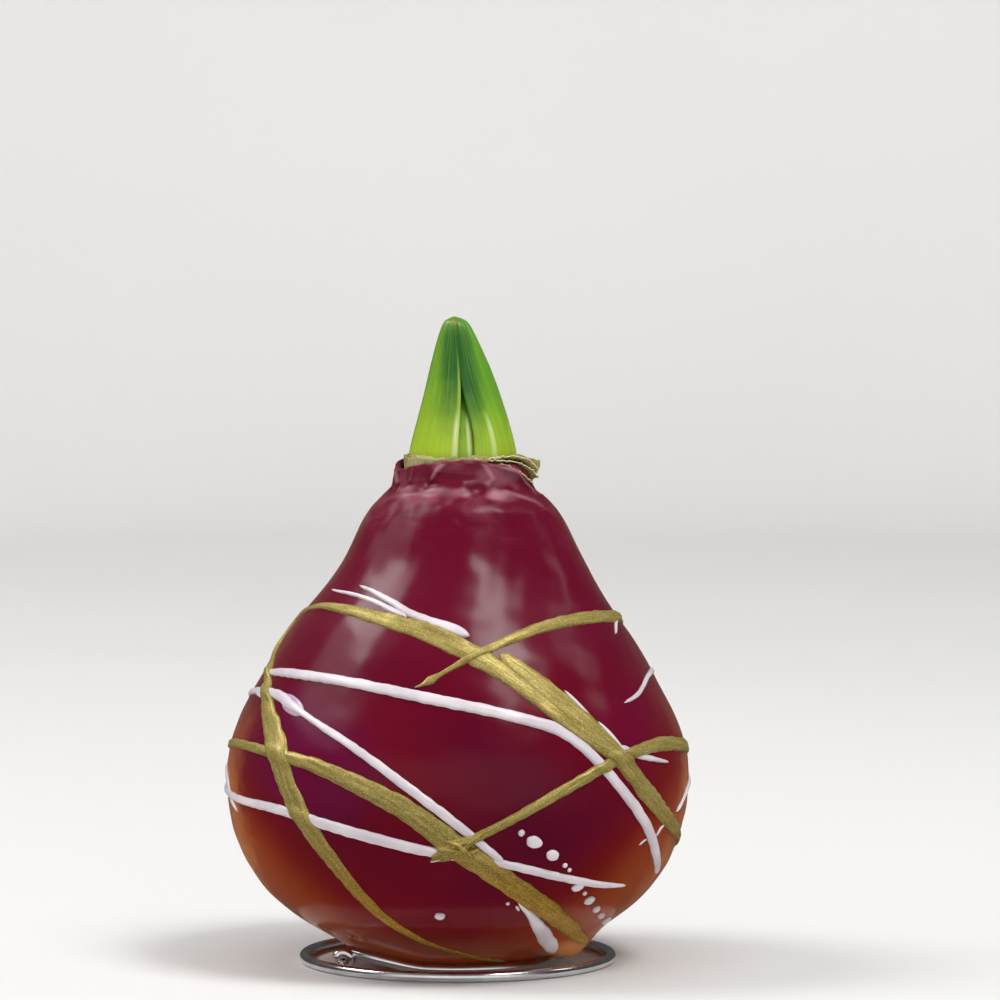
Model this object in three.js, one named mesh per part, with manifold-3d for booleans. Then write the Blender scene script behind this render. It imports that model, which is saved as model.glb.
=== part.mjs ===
// An amaryllis bulb dipped in dark red wax and drizzled with gold and white wax.
// A short shoot of leaves stands in its papery neck, and a bright wire foot carries it.
// Millimetres, +Z up. The front is -Y, and the origin is on the table under the bulb.
// Angles are in degrees round the bulb's axis: 0 is the front, 90 is the right side.

import * as THREE from 'three';
import { LoftGeometry } from 'three/addons/geometries/LoftGeometry.js';
import { mergeVertices } from 'three/addons/utils/BufferGeometryUtils.js';
import Module from 'manifold-3d';

// ---- Driving dimensions ----

const GAP = 0.3; // clearance between pieces that touch

// Wax coat
const WAX_BOTTOM = 0.7; // the flat spot, just above the table
const COLLAR_FOOT = 97.6; // the narrow pleated collar starts here
const WAX_TOP = 104.6; // rim round the neck
// Outline of the wax, [height, radius].
// The widest part is 96 across, which is a bulb of 28 to 30 cm girth with its wax on.
const WAX_OUTLINE = [
  [WAX_BOTTOM, 17], [1.6, 19.5], [3, 22], [5.4, 25.8], [9.7, 33], [13.8, 38.1], [17.8, 41.6],
  [22, 44.2], [28, 46.6], [34, 47.7], [40, 48], [46, 47.2], [52, 44.9], [60, 40.7],
  [68, 36], [76, 29.9], [84, 24.8], [92, 20.8], [96.3, 17.6], [98.6, 14.9], [WAX_TOP, 13.5],
];
const WAX_WALL = 2;
const WAX_SIDES = 48;
const NECK_LEAN = { across: 1.2, from: 70, to: 84 }; // to the right, between two heights
const LOBE = { angle: 54, height: 6.8, drop: 3.4, spread: 17, depth: 2 };
const RIM_DIP = { angle: 88, depth: 5.3, spread: 20 };

// Unevenness, as waves round the bulb: [waves in a turn, size, start angle].
const SHOULDER = { height: 80, reach: 14, flutes: [[5, 0.45, 23], [3, 0.3, 115]] };
const COLLAR_PLEATS = [[9, 0.3, 74], [14, 0.2, 0]];
const PLEAT_SIZE = 0.5; // the pleats together
const RIM_WAVES = [[3, 0.4, 0]];
const RAGGED_EDGE = [[7, 0.35, -90], [13, 0.25, -50]];

// Bulb, with its papery neck
const BULB_SIDES = 36;
const TUNIC_TOP = 105.7; // ragged edge of the papery neck
const TUNIC_RADIUS = 12.3;
const TUNIC_WALL = 0.9;
const TUNIC_OUTLINE = [[97.8, 12], [99.6, 12], [102.6, 12.2], [TUNIC_TOP, TUNIC_RADIUS]];
const TUNIC_FOLD = { angle: 86, out: 3.6, down: 0.9, spread: 22 };
const POCKET_FLOOR = 97.5; // the leaves stand in a pocket of the neck

// Leaves
const LEAF_FOOT = POCKET_FLOOR + GAP;
const SHOOT_TOP = 134.3;
const LEAF_THICKNESS = 2.6; // at the leaf's back
const LEAF_MARGIN = 0.9; // at the leaf's edge
// The shoot's outline, [height, half width], and how far its middle lies right of the axis.
const SHOOT_OUTLINE = [
  [LEAF_FOOT, 10.4], [103, 11], [106.4, 11], [112, 9.7], [117.7, 8.1], [123.3, 6.4],
  [127.5, 4.9], [131.6, 3.3], [133.4, 2.3], [SHOOT_TOP, 1.3],
];
const SHOOT_MIDDLE = [[LEAF_FOOT, 1.15], [108, 1.05], [123, 0.6], [SHOOT_TOP, -0.4]];
const SHOOT_DEPTH = 0.9; // depth of the shoot as a share of its width
// Each leaf keeps back from the slit at the front, which closes at a given height.
const LEFT_LEAF = { side: -1, top: SHOOT_TOP, keptBack: 0.9, slitTop: 120 };
const RIGHT_LEAF = { side: 1, top: 133.8, keptBack: 2.9, slitTop: 124 };
const SLIT_TAPER = 16; // height over which the slit closes
const INNER_LEAF_TOP = 124;

// Drizzle
const GOLD_HEIGHT = 1.1;
const WHITE_HEIGHT = 0.8;
const DROP_HEIGHT = 0.8;

// Wire foot
const WIRE_RADIUS = 1.1;
const WIRE_SIDES = 8;
const RING_DIAMETER = 66; // outside
const CRADLE_RADIUS = 21.5; // the inner turn, which carries the bulb
const CRADLE_FLARE = 4.8; // how far the inner turn widens at its end
const CRADLE_CLIMB = 2.8; // and how far it rises there
const CURL_RADIUS = 1.3;
const CURL_PITCH = 2.5;
const CURL_TURN = 430;

// ---- Materials ----

function material(color, roughness, metalness = 0) {
  return new THREE.MeshStandardMaterial({ color, roughness, metalness });
}

const RED_WAX = material('#5e0e2b', 0.25);
const GOLD_WAX = material('#9a8638', 0.4, 0.5);
const WHITE_WAX = material('#dcd3d8', 0.3);
const LEAF_GREEN = material('#7fae2a', 0.4);
const YOUNG_GREEN = material('#a6cc3a', 0.4);
const DRY_TUNIC = material('#a98e5c', 0.8);
const BRIGHT_WIRE = material('#b9bcc0', 0.2, 1);

// ---- Small helpers ----

const radians = THREE.MathUtils.degToRad;

function eased(t) {
  return THREE.MathUtils.smoothstep(t, 0, 1);
}

function bell(distance, width) {
  return Math.exp(-((distance / width) ** 2));
}

// A bell round the bulb's axis, widest at one angle.
function bellRound(angle, { angle: middle, spread }) {
  return bell(THREE.MathUtils.euclideanModulo(angle - middle + 180, 360) - 180, spread);
}

function waves(list, angle) {
  return list.reduce(
    (sum, [count, size, start]) => sum + size * Math.cos(radians(count * angle + start)), 0,
  );
}

// Smooth curve through [x, y] knots with the average slope of the neighbours at each knot.
function through(knots, x) {
  const last = knots.length - 1;
  if (x <= knots[0][0]) return knots[0][1];
  if (x >= knots[last][0]) return knots[last][1];
  const i = knots.findIndex((knot) => knot[0] > x) - 1;
  const slopeAt = (j) => {
    const before = knots[Math.max(j - 1, 0)];
    const after = knots[Math.min(j + 1, last)];
    return (after[1] - before[1]) / (after[0] - before[0]);
  };
  const span = knots[i + 1][0] - knots[i][0];
  const t = (x - knots[i][0]) / span;
  return (2 * t ** 3 - 3 * t * t + 1) * knots[i][1]
    + (t ** 3 - 2 * t * t + t) * span * slopeAt(i)
    + (3 * t * t - 2 * t ** 3) * knots[i + 1][1]
    + (t ** 3 - t * t) * span * slopeAt(i + 1);
}

// ---- Joining ----

const wasm = await Module();
wasm.setup();

function solidOf(geometry) {
  const bare = new THREE.BufferGeometry();
  bare.setAttribute('position', geometry.getAttribute('position'));
  bare.setIndex(geometry.getIndex());
  const merged = mergeVertices(bare, 1e-3);
  const vertProperties = new Float32Array(merged.getAttribute('position').array);
  const triVerts = new Uint32Array(merged.getIndex().array);
  return new wasm.Manifold(new wasm.Mesh({ numProp: 3, vertProperties, triVerts }));
}

// Wax of one colour runs together where its strands cross.
function fused(geometries) {
  const whole = geometries.map(solidOf).reduce((sum, next) => sum.add(next));
  const mesh = whole.getMesh();
  const geometry = new THREE.BufferGeometry();
  geometry.setAttribute('position', new THREE.BufferAttribute(mesh.vertProperties, 3));
  geometry.setIndex(new THREE.BufferAttribute(mesh.triVerts, 1));
  geometry.computeVertexNormals();
  return geometry;
}

// ---- The bulb's surface ----

function neckShift(height) {
  const { across, from, to } = NECK_LEAN;
  return across * eased((height - from) / (to - from));
}

// A point at an angle and a radius about the leaning axis.
function around(angle, radius, height, z = height) {
  const turn = radians(angle);
  const x = neckShift(height) + radius * Math.sin(turn);
  return new THREE.Vector3(x, -radius * Math.cos(turn), z);
}

// The wax isn't quite round: shallow flutes on the shoulder, and pleats that stand out
// from the collar.
function bulge(angle, height) {
  const shoulder = bell(height - SHOULDER.height, SHOULDER.reach);
  const collar = eased((height - COLLAR_FOOT + 1) / 3);
  return shoulder * waves(SHOULDER.flutes, angle)
    + collar * (PLEAT_SIZE + waves(COLLAR_PLEATS, angle));
}

// A lobe of run-down wax hangs from the outside at the base, right of the front.
function sag(angle, height) {
  return LOBE.drop * bellRound(angle, LOBE) * bell(height - LOBE.height, LOBE.depth);
}

// Height of the wax rim. It dips at the right, where the papery neck folds out.
function rimHeight(angle) {
  return WAX_TOP + waves(RIM_WAVES, angle) - RIM_DIP.depth * bellRound(angle, RIM_DIP);
}

// Where a point of the round outline ends up on the real, uneven wax. The unevenness
// fades out towards the axis.
function onWax(angle, radius, height) {
  const unevenFrom = 12;
  const r = radius + Math.min(1, radius / unevenFrom) * bulge(angle, height);
  const isOutside = radius > through(WAX_OUTLINE, height) - WAX_WALL / 4;
  const collarShare = Math.max(0, (height - COLLAR_FOOT) / (WAX_TOP - COLLAR_FOOT));
  const rimShift = collarShare * (rimHeight(angle) - WAX_TOP);
  return around(angle, r, height, height + rimShift - (isOutside ? sag(angle, height) : 0));
}

const waxSurface = (angle, height) => onWax(angle, through(WAX_OUTLINE, height), height);

function waxNormal(angle, height) {
  const step = 0.4;
  const up = waxSurface(angle, height + step).sub(waxSurface(angle, height - step));
  const side = waxSurface(angle + step, height).sub(waxSurface(angle - step, height));
  return side.cross(up).normalize();
}

// The outline moved inwards by a given depth, as [radius, height] points.
function insetOutline(heights, inset) {
  return heights.map((height) => {
    const step = 0.3;
    const low = Math.max(height - step, WAX_BOTTOM);
    const high = Math.min(height + step, WAX_TOP);
    const slope = (through(WAX_OUTLINE, high) - through(WAX_OUTLINE, low)) / (high - low);
    const depth = inset / Math.hypot(1, slope);
    return new THREE.Vector2(through(WAX_OUTLINE, height) - depth, height + slope * depth);
  });
}

// Turns a closed outline round the axis and shapes it with place(angle, radius, height).
function turned(outline, sides, place) {
  const geometry = new THREE.LatheGeometry(outline, sides);
  geometry.rotateX(Math.PI / 2);
  const position = geometry.getAttribute('position');
  const onAxis = 0.001;
  for (let i = 0; i < position.count; i += 1) {
    const x = position.getX(i);
    const y = position.getY(i);
    const radius = Math.hypot(x, y);
    const angle = radius > onAxis ? THREE.MathUtils.radToDeg(Math.atan2(x, -y)) : 0;
    const point = place(angle, radius, position.getZ(i));
    position.setXYZ(i, point.x, point.y, point.z);
  }
  return geometry;
}

function makeWaxCoat() {
  const outsideHeights = [
    WAX_BOTTOM, 1.6, 3, 4.2, 5.4, 7.4, 9.7, 13.8, 18, 23, 28.5, 34, 40, 46, 51, 56, 61, 66,
    71, 76, 81, 86, 91, 95, COLLAR_FOOT, 98.8, 101.6, WAX_TOP,
  ];
  const insideHeights = [95, 86, 76, 66, 56, 46, 34, 23, 13.8, 7.4, 3, WAX_BOTTOM];
  const outside = outsideHeights.map((z) => new THREE.Vector2(through(WAX_OUTLINE, z), z));
  const inside = insetOutline(insideHeights, WAX_WALL);
  const neckRadius = TUNIC_RADIUS + GAP;
  const neckFoot = COLLAR_FOOT + 0.8;
  const outline = [
    new THREE.Vector2(0, WAX_BOTTOM),
    ...outside,
    new THREE.Vector2(neckRadius, WAX_TOP - 0.3),
    new THREE.Vector2(neckRadius, neckFoot),
    ...inside,
    new THREE.Vector2(0, inside.at(-1).y),
  ];
  return turned(outline, WAX_SIDES, onWax);
}

// ---- The bulb and its papery neck ----

// The neck is smooth where the wax is pleated. Its edge is ragged, and at the right the
// dry tunic folds out over the low wax rim.
function onBulb(angle, radius, height) {
  if (height < COLLAR_FOOT - 1) return onWax(angle, radius, height);
  const raggedFrom = COLLAR_FOOT + 2;
  const foldHeight = 5;
  const rise = Math.max(0, (height - raggedFrom) / (TUNIC_TOP - raggedFrom));
  const fold = bellRound(angle, TUNIC_FOLD);
  const clearOfRim = eased((height - rimHeight(angle) + GAP) / foldHeight);
  const z = height + rise * (waves(RAGGED_EDGE, angle) - TUNIC_FOLD.down * fold);
  return around(angle, radius + TUNIC_FOLD.out * fold * clearOfRim, height, z);
}

function makeBulb() {
  const bodyHeights = [WAX_BOTTOM, 3, 7.4, 13.8, 23, 34, 46, 56, 66, 76, 86, 95];
  const body = insetOutline(bodyHeights, WAX_WALL + GAP);
  const pocketHeights = [TUNIC_TOP - 0.1, 102.4, 99.6, POCKET_FLOOR];
  const pocketRadius = TUNIC_RADIUS - TUNIC_WALL;
  const outline = [
    new THREE.Vector2(0, body[0].y),
    ...body,
    ...TUNIC_OUTLINE.map(([height, radius]) => new THREE.Vector2(radius, height)),
    ...pocketHeights.map((height) => new THREE.Vector2(pocketRadius, height)),
    new THREE.Vector2(0, POCKET_FLOOR),
  ];
  return turned(outline, BULB_SIDES, onBulb);
}

// ---- Leaves ----

// One level of a leaf: half of a ring, thick at its back and thin at its two edges.
// The front edge keeps the given distance from the shoot's middle plane.
function leafLevel(leaf, height, frontEdge) {
  const backEdge = 0.3;
  const arcPoints = 9;
  const halfWidth = through(SHOOT_OUTLINE, height + SHOOT_TOP - leaf.top);
  const middle = through(SHOOT_MIDDLE, height);
  const thickness = Math.min(LEAF_THICKNESS, 0.6 * halfWidth);
  const margin = Math.min(LEAF_MARGIN, 0.45 * halfWidth);
  const first = Math.asin(Math.min(0.7, frontEdge / halfWidth));
  const last = Math.PI - Math.asin(Math.min(0.5, backEdge / halfWidth));
  const at = (turn, r) => new THREE.Vector3(
    middle + leaf.side * r * Math.sin(turn), -r * SHOOT_DEPTH * Math.cos(turn), height,
  );
  const outer = [];
  const inner = [];
  for (let i = 0; i < arcPoints; i += 1) {
    const turn = THREE.MathUtils.lerp(first, last, i / (arcPoints - 1));
    const deep = THREE.MathUtils.lerp(margin, thickness, Math.sin(turn) ** 1.5);
    outer.push(at(turn, halfWidth));
    inner.push(at(turn, halfWidth - deep));
  }
  const level = [...outer, ...inner.reverse()];
  return leaf.side < 0 ? level.reverse() : level;
}

// Levels of a leaf, as shares of its height. They crowd together towards the tip.
const LEAF_LEVELS = [0, 0.14, 0.25, 0.37, 0.5, 0.62, 0.73, 0.83, 0.91, 0.96, 0.985, 1];

function makeLeaf(leaf) {
  const closedEdge = 0.25;
  const levels = LEAF_LEVELS.map((share) => {
    const height = THREE.MathUtils.lerp(LEAF_FOOT, leaf.top, share);
    const open = eased((leaf.slitTop - height) / SLIT_TAPER);
    return leafLevel(leaf, height, closedEdge + leaf.keptBack * open);
  });
  return new LoftGeometry(levels, { capStart: true, capEnd: true });
}

// The young leaf is a rounded spike that fills the room between the other two.
function makeInnerLeaf() {
  const sides = 14;
  const clearance = 0.5;
  const forward = 0.35;
  const levels = LEAF_LEVELS.slice(0, -1).map((share) => {
    const height = THREE.MathUtils.lerp(LEAF_FOOT, INNER_LEAF_TOP, share);
    const room = through(SHOOT_OUTLINE, height) - LEAF_THICKNESS - clearance;
    const half = room * Math.sqrt(1 - share ** 3);
    const middle = through(SHOOT_MIDDLE, height);
    return Array.from({ length: sides }, (_, i) => {
      const turn = (2 * Math.PI * i) / sides;
      const y = -forward - half * SHOOT_DEPTH * Math.cos(turn);
      return new THREE.Vector3(middle + half * Math.sin(turn), y, height);
    });
  });
  return new LoftGeometry(levels, { capStart: true, capEnd: true });
}

// ---- Drizzled wax ----

// The white strands lie on the red wax. The gold, laid after them, climbs over them.
const whiteTrack = [];

function climbOver(point, reach) {
  const shoulder = 1; // the climb is finished this far before the white strand's edge
  const closest = new THREE.Vector3();
  let climb = 0;
  for (const { line, halfWidth, top } of whiteTrack) {
    line.closestPointToPoint(point, true, closest);
    const past = closest.distanceTo(point) - halfWidth - shoulder;
    climb = Math.max(climb, (top + GAP) * (1 - eased(past / reach)));
  }
  return climb;
}

// Points about evenly spaced along a route of [angle, height, width], closer at crossings.
function walkRoute(route, liftAt) {
  const pace = 4.2;
  const crossingPace = 1.7;
  const crossingReach = 3;
  const shortestPace = 0.8;
  const knots = route.map(([angle, height, width]) => new THREE.Vector3(angle, height, width));
  const curve = new THREE.CatmullRomCurve3(knots, false, 'centripetal');
  const fine = 60 * route.length;
  const stops = [];
  let walked = Infinity;
  let previous = null;
  for (let i = 0; i <= fine; i += 1) {
    const { x: angle, y: height, z: width } = curve.getPoint(i / fine);
    const point = waxSurface(angle, height);
    if (previous) walked += point.distanceTo(previous);
    previous = point;
    const wanted = liftAt(point, crossingReach) > 0 ? crossingPace : pace;
    if (walked >= wanted || i === fine) {
      if (i === fine && walked < shortestPace && stops.length > 2) stops.pop();
      stops.push({ angle, height, width, point });
      walked = 0;
    }
  }
  return stops;
}

// The strand's section, as [across, up] shares of its width and height.
const STRAND_SECTION = [[-0.36, 0.7], [0, 1], [0.36, 0.7], [0.5, 0], [-0.5, 0]];

// A narrow strand is lower than a wide one.
const strandHeight = (fullHeight, width) => fullHeight * Math.min(1, 0.35 + 0.3 * width);

function makeStrand(route, fullHeight, liftAt, track) {
  const climbReach = 1.8;
  const stops = walkRoute(route, liftAt);
  const sections = stops.map((stop, i) => {
    const before = stops[Math.max(i - 1, 0)].point;
    const after = stops[Math.min(i + 1, stops.length - 1)].point;
    const normal = waxNormal(stop.angle, stop.height);
    const across = new THREE.Vector3().subVectors(after, before).cross(normal).normalize();
    const tall = strandHeight(fullHeight, stop.width);
    if (i > 0) {
      const line = new THREE.Line3(before, stop.point);
      track.push({ line, halfWidth: stop.width / 2, top: GAP + tall });
    }
    return STRAND_SECTION.map(([u, v]) => {
      const foot = stop.point.clone().addScaledVector(across, u * stop.width);
      const lift = GAP + liftAt(foot, climbReach) + v * tall;
      return foot.addScaledVector(normal, lift);
    });
  });
  return new LoftGeometry(sections, { capStart: true, capEnd: true });
}

// Routes of the strands, [angle, height, width].
// These two white strands cross at the back and run together low at the front.
const JOINED_WHITE_ROUTES = [
  // The lower one runs right round the back from the tick high on the right.
  [[-307, 56.4, 0.6], [-300, 57.4, 1], [-284, 60.4, 1.1], [-265, 60.5, 1.6], [-215, 56, 2],
    [-155, 47, 2], [-120, 39.5, 1.8], [-95, 36.5, 1.6], [-68, 36, 1.8], [-48, 35.5, 2.1],
    [-29, 32.7, 2.4], [-9, 29.2, 2.3], [11, 26, 2.2], [28, 22.5, 1.9], [42, 20.1, 1.6],
    [54, 19, 0.6]],
  // The upper one runs from low on the right round the back and down across the front.
  [[-289, 33, 0.7], [-280, 36.2, 1], [-265, 38.5, 1.5], [-235, 42, 1.8], [-200, 45, 1.8],
    [-150, 49, 1.7], [-105, 54, 1.4], [-80, 57.2, 1.6], [-60, 57.6, 2.2], [-53, 56.4, 2.4],
    [-47, 55.1, 1.5], [-31, 50.6, 1.7], [-19, 45.4, 2], [-4, 36.5, 2.3], [12, 26, 2.4]],
];

const WHITE_ROUTES = [
  // From high on the left to low on the right.
  [[-80, 61, 1.2], [-60, 62, 2.1], [-33, 61.4, 2.3], [-7, 58.7, 2.6], [15, 55.3, 2.6],
    [29, 52, 2.6], [38, 45, 2.2], [43.5, 40.2, 2.4], [53, 32.8, 2.6], [61, 26.5, 2.5],
    [72, 20, 1.5]],
  // Two thin splashes at the upper left, and their far end under the gold at the right.
  [[-48, 79.9, 0.6], [-36, 78.4, 1.2], [-15, 75.3, 2], [-4.5, 73.4, 2.6], [3, 71.8, 2.2]],
  [[-68, 78.5, 0.6], [-53, 78.2, 1], [-39, 77.2, 1.1], [-29, 76.1, 1], [-25.5, 75.7, 0.7]],
  [[45, 48.2, 1.6], [52, 46, 1.5], [65, 43.7, 0.6]],
  // The dab that runs down beside the sagging lobe, and a tick high on the right.
  [[18.5, 17.4, 0.9], [24, 14.4, 1.7], [31, 11, 2.6], [42, 8, 3], [50, 6.5, 2.2]],
  [[67, 69.5, 0.6], [74, 70.8, 0.9], [84, 72.3, 0.9]],
];

const GOLD_ROUTES = [
  // From the back round the left side and down across the front to the base.
  [[-178, 43, 0.8], [-150, 40.5, 2.4], [-120, 41.5, 2.6], [-90, 45.6, 2], [-72, 47, 1.8],
    [-50, 46.5, 2.6], [-35, 44.9, 3.2], [-13.5, 38.1, 3.7], [1, 28.9, 4], [11.4, 22.4, 4.1],
    [25, 15.8, 4], [38, 11.2, 3.6], [50, 8.6, 2.4], [57, 7.8, 1]],
  // Up from the base along the left, over in a tight bend, and down across the front.
  [[12, 3.4, 0.8], [0, 4.9, 1.2], [-11, 6.8, 1.4], [-23, 12.9, 2.4], [-34, 25.4, 3.2],
    [-42, 34.6, 3.8], [-47, 41.4, 4.2], [-52, 48.1, 4.6], [-62, 54.4, 3.2], [-77, 62, 2.2],
    [-88, 67.5, 1.4], [-88, 72, 1.2], [-71, 75.4, 1.4], [-50, 75.9, 2.2], [-31, 74.8, 3],
    [-13, 72.4, 3.8], [1, 69.3, 4.1], [13.5, 65.5, 4.6], [24.5, 59.7, 5], [34, 53.2, 5],
    [43, 47.3, 4.6], [53, 39, 3.8], [66, 32, 3], [80, 27.5, 2.2], [97, 23.8, 1.8],
    [118, 22.8, 0.8]],
  // From the back round the right side, across the strand above, to a thin tail.
  [[176, 50, 0.8], [150, 58, 2], [120, 66.5, 2.6], [95, 72, 2.8], [68, 73.9, 2.8],
    [52, 74, 2.7], [31, 72.7, 2.3], [15, 70, 1.9], [1, 66.2, 1.2], [-6.3, 63.1, 1.4],
    [-12, 60.8, 0.6]],
  // From the back round the right side and down to a crumpled end at the front.
  [[150, 31, 0.8], [135, 36, 1.8], [115, 40.5, 2.4], [97, 44.5, 3], [80, 46.7, 3.2],
    [63, 48, 3.2], [52, 47.5, 2.4], [41, 45.4, 2.3], [25.7, 40.2, 2.3], [10.6, 33.9, 1.8],
    [2, 30.3, 1.8], [-6.5, 26.6, 0.8]],
];

// White drops, [angle, height, width across, height of the drop on the wax, tilt].
const DROPS = [
  [16, 32, 1.5, 1.5, 0], [19.4, 30, 3.6, 2.6, -15], [24.6, 27.1, 2.9, 2.4, -20],
  [28.3, 24.6, 1.1, 1.1, 0], [30, 23.4, 0.9, 0.9, 0], [33.8, 19.2, 3, 1.9, 20],
  [37.4, 17.2, 1, 1, 0], [40.6, 15.4, 2.6, 1.9, 30], [46, 13.2, 1.7, 1.8, 0],
  [52, 11.3, 1.7, 1.7, 0], [61, 9.6, 2.6, 1.9, 45], [-4.9, 14.3, 2.2, 1.8, 0],
  [14.6, 16.8, 1.1, 1.1, 0],
];

function makeDrop([angle, height, width, length, tilt]) {
  const sides = 8;
  const fullHeightFrom = 1.8; // narrower drops are lower
  const dome = [[0, 0], [0.5, 0], [0.43, 0.55], [0.22, 0.9], [0, 1]];
  const outline = dome.map(([r, up]) => new THREE.Vector2(r, up));
  const geometry = new THREE.LatheGeometry(outline, sides);
  geometry.rotateX(Math.PI / 2);
  geometry.scale(width, length, DROP_HEIGHT * Math.min(1, width / fullHeightFrom));
  geometry.rotateZ(radians(tilt));
  const normal = waxNormal(angle, height);
  const right = new THREE.Vector3(0, 0, 1).cross(normal).normalize();
  const up = new THREE.Vector3().crossVectors(normal, right);
  const foot = waxSurface(angle, height).addScaledVector(normal, GAP);
  const place = new THREE.Matrix4().makeBasis(right, up, normal).setPosition(foot);
  return geometry.applyMatrix4(place);
}

// ---- Wire foot ----

const onCircle = (angle, radius, z) => new THREE.Vector3(
  radius * Math.sin(radians(angle)), -radius * Math.cos(radians(angle)), z,
);

// One wire: a ring on the table, a sweep inwards behind the bulb, a turn that cradles
// the bulb's base and climbs at its left, and a small curled end.
function wirePath() {
  const ringStart = 172;
  const sweepStart = -160;
  const sweepEnd = -230;
  const climbStart = -376;
  const climbEnd = -418;
  const step = 8;
  const ringRadius = RING_DIAMETER / 2 - WIRE_RADIUS;
  const points = [];
  for (let angle = ringStart; angle > sweepStart; angle -= step) {
    points.push(onCircle(angle, ringRadius, WIRE_RADIUS));
  }
  for (let angle = sweepStart; angle > climbEnd; angle -= step) {
    const inwards = eased((sweepStart - angle) / (sweepStart - sweepEnd));
    const climb = eased((climbStart - angle) / (climbStart - climbEnd));
    const turnRadius = THREE.MathUtils.lerp(ringRadius, CRADLE_RADIUS, inwards);
    const z = WIRE_RADIUS + CRADLE_CLIMB * climb;
    points.push(onCircle(angle, turnRadius + CRADLE_FLARE * climb, z));
  }
  return [...points, ...curlPath(climbEnd)];
}

// The curl starts at its top and winds down and round, towards the front left.
function curlPath(angle) {
  const step = 36;
  const along = new THREE.Vector3(-0.9, 0.43, 0).normalize();
  const sideways = new THREE.Vector3(-along.y, along.x, 0);
  const z = WIRE_RADIUS + CRADLE_CLIMB - CURL_RADIUS;
  const middle = onCircle(angle, CRADLE_RADIUS + CRADLE_FLARE, z);
  const points = [];
  for (let turn = 0; turn <= CURL_TURN; turn += step) {
    const point = middle.clone();
    point.addScaledVector(along, CURL_RADIUS * Math.sin(radians(turn)));
    point.addScaledVector(sideways, (CURL_PITCH * turn) / 360);
    point.z += CURL_RADIUS * Math.cos(radians(turn));
    points.push(point);
  }
  return points;
}

function makeWireFoot() {
  const points = wirePath();
  const cornerRadius = WIRE_RADIUS / Math.cos(Math.PI / WIRE_SIDES);
  const up = new THREE.Vector3(0, 0, 1);
  const sections = points.map((point, i) => {
    const before = points[Math.max(i - 1, 0)];
    const after = points[Math.min(i + 1, points.length - 1)];
    const forward = new THREE.Vector3().subVectors(after, before).normalize();
    up.addScaledVector(forward, -up.dot(forward)).normalize();
    const side = new THREE.Vector3().crossVectors(forward, up);
    return Array.from({ length: WIRE_SIDES }, (_, k) => {
      const turn = (2 * Math.PI * (k + 0.5)) / WIRE_SIDES;
      const corner = point.clone();
      corner.addScaledVector(up, cornerRadius * Math.cos(turn));
      return corner.addScaledVector(side, cornerRadius * Math.sin(turn));
    });
  });
  return new LoftGeometry(sections, { capStart: true, capEnd: true });
}

// ---- Assembly ----

const waxedBulb = new THREE.Group();

function add(name, geometry, finish) {
  const mesh = new THREE.Mesh(geometry, finish);
  mesh.name = name;
  waxedBulb.add(mesh);
}

add('wax_coat', makeWaxCoat(), RED_WAX);
add('bulb', makeBulb(), DRY_TUNIC);
add('leaf_left', makeLeaf(LEFT_LEAF), LEAF_GREEN);
add('leaf_right', makeLeaf(RIGHT_LEAF), LEAF_GREEN);
add('inner_leaf', makeInnerLeaf(), YOUNG_GREEN);

const onRedWax = () => 0;
const whiteStrand = (route) => makeStrand(route, WHITE_HEIGHT, onRedWax, whiteTrack);
add('white_strand_1', fused(JOINED_WHITE_ROUTES.map(whiteStrand)), WHITE_WAX);
WHITE_ROUTES.forEach((route, i) => {
  add(`white_strand_${i + 2}`, whiteStrand(route), WHITE_WAX);
});

const goldStrand = (route) => makeStrand(route, GOLD_HEIGHT, climbOver, []);
add('gold_drizzle', fused(GOLD_ROUTES.map(goldStrand)), GOLD_WAX);

DROPS.forEach((drop, i) => {
  add(`white_drop_${String(i + 1).padStart(2, '0')}`, makeDrop(drop), WHITE_WAX);
});

add('wire_foot', makeWireFoot(), BRIGHT_WIRE);

export default waxedBulb;
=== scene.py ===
"""A waxed and drizzled amaryllis bulb on its wire foot.

Sizes are in millimetres and turned into metres where a mesh is made. Angles are in degrees
round the bulb's axis: 0 is the front (-Y) and 90 is the right side (+X).
"""

import bmesh
import bpy
import numpy as np
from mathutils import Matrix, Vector, kdtree


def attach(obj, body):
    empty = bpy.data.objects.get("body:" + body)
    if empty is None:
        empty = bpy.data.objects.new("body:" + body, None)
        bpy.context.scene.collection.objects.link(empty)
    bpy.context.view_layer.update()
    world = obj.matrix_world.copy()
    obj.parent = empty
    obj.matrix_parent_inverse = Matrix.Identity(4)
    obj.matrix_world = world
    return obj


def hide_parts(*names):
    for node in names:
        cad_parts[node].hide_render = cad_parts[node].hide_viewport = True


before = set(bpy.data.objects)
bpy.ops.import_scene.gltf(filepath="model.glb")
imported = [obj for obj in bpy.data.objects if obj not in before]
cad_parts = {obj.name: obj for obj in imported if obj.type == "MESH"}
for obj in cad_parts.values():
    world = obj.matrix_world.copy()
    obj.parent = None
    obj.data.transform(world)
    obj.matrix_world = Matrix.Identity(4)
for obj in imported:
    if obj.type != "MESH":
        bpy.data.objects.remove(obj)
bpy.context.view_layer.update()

MM = 0.001

# ---- Sizes shared with the solids ----

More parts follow.
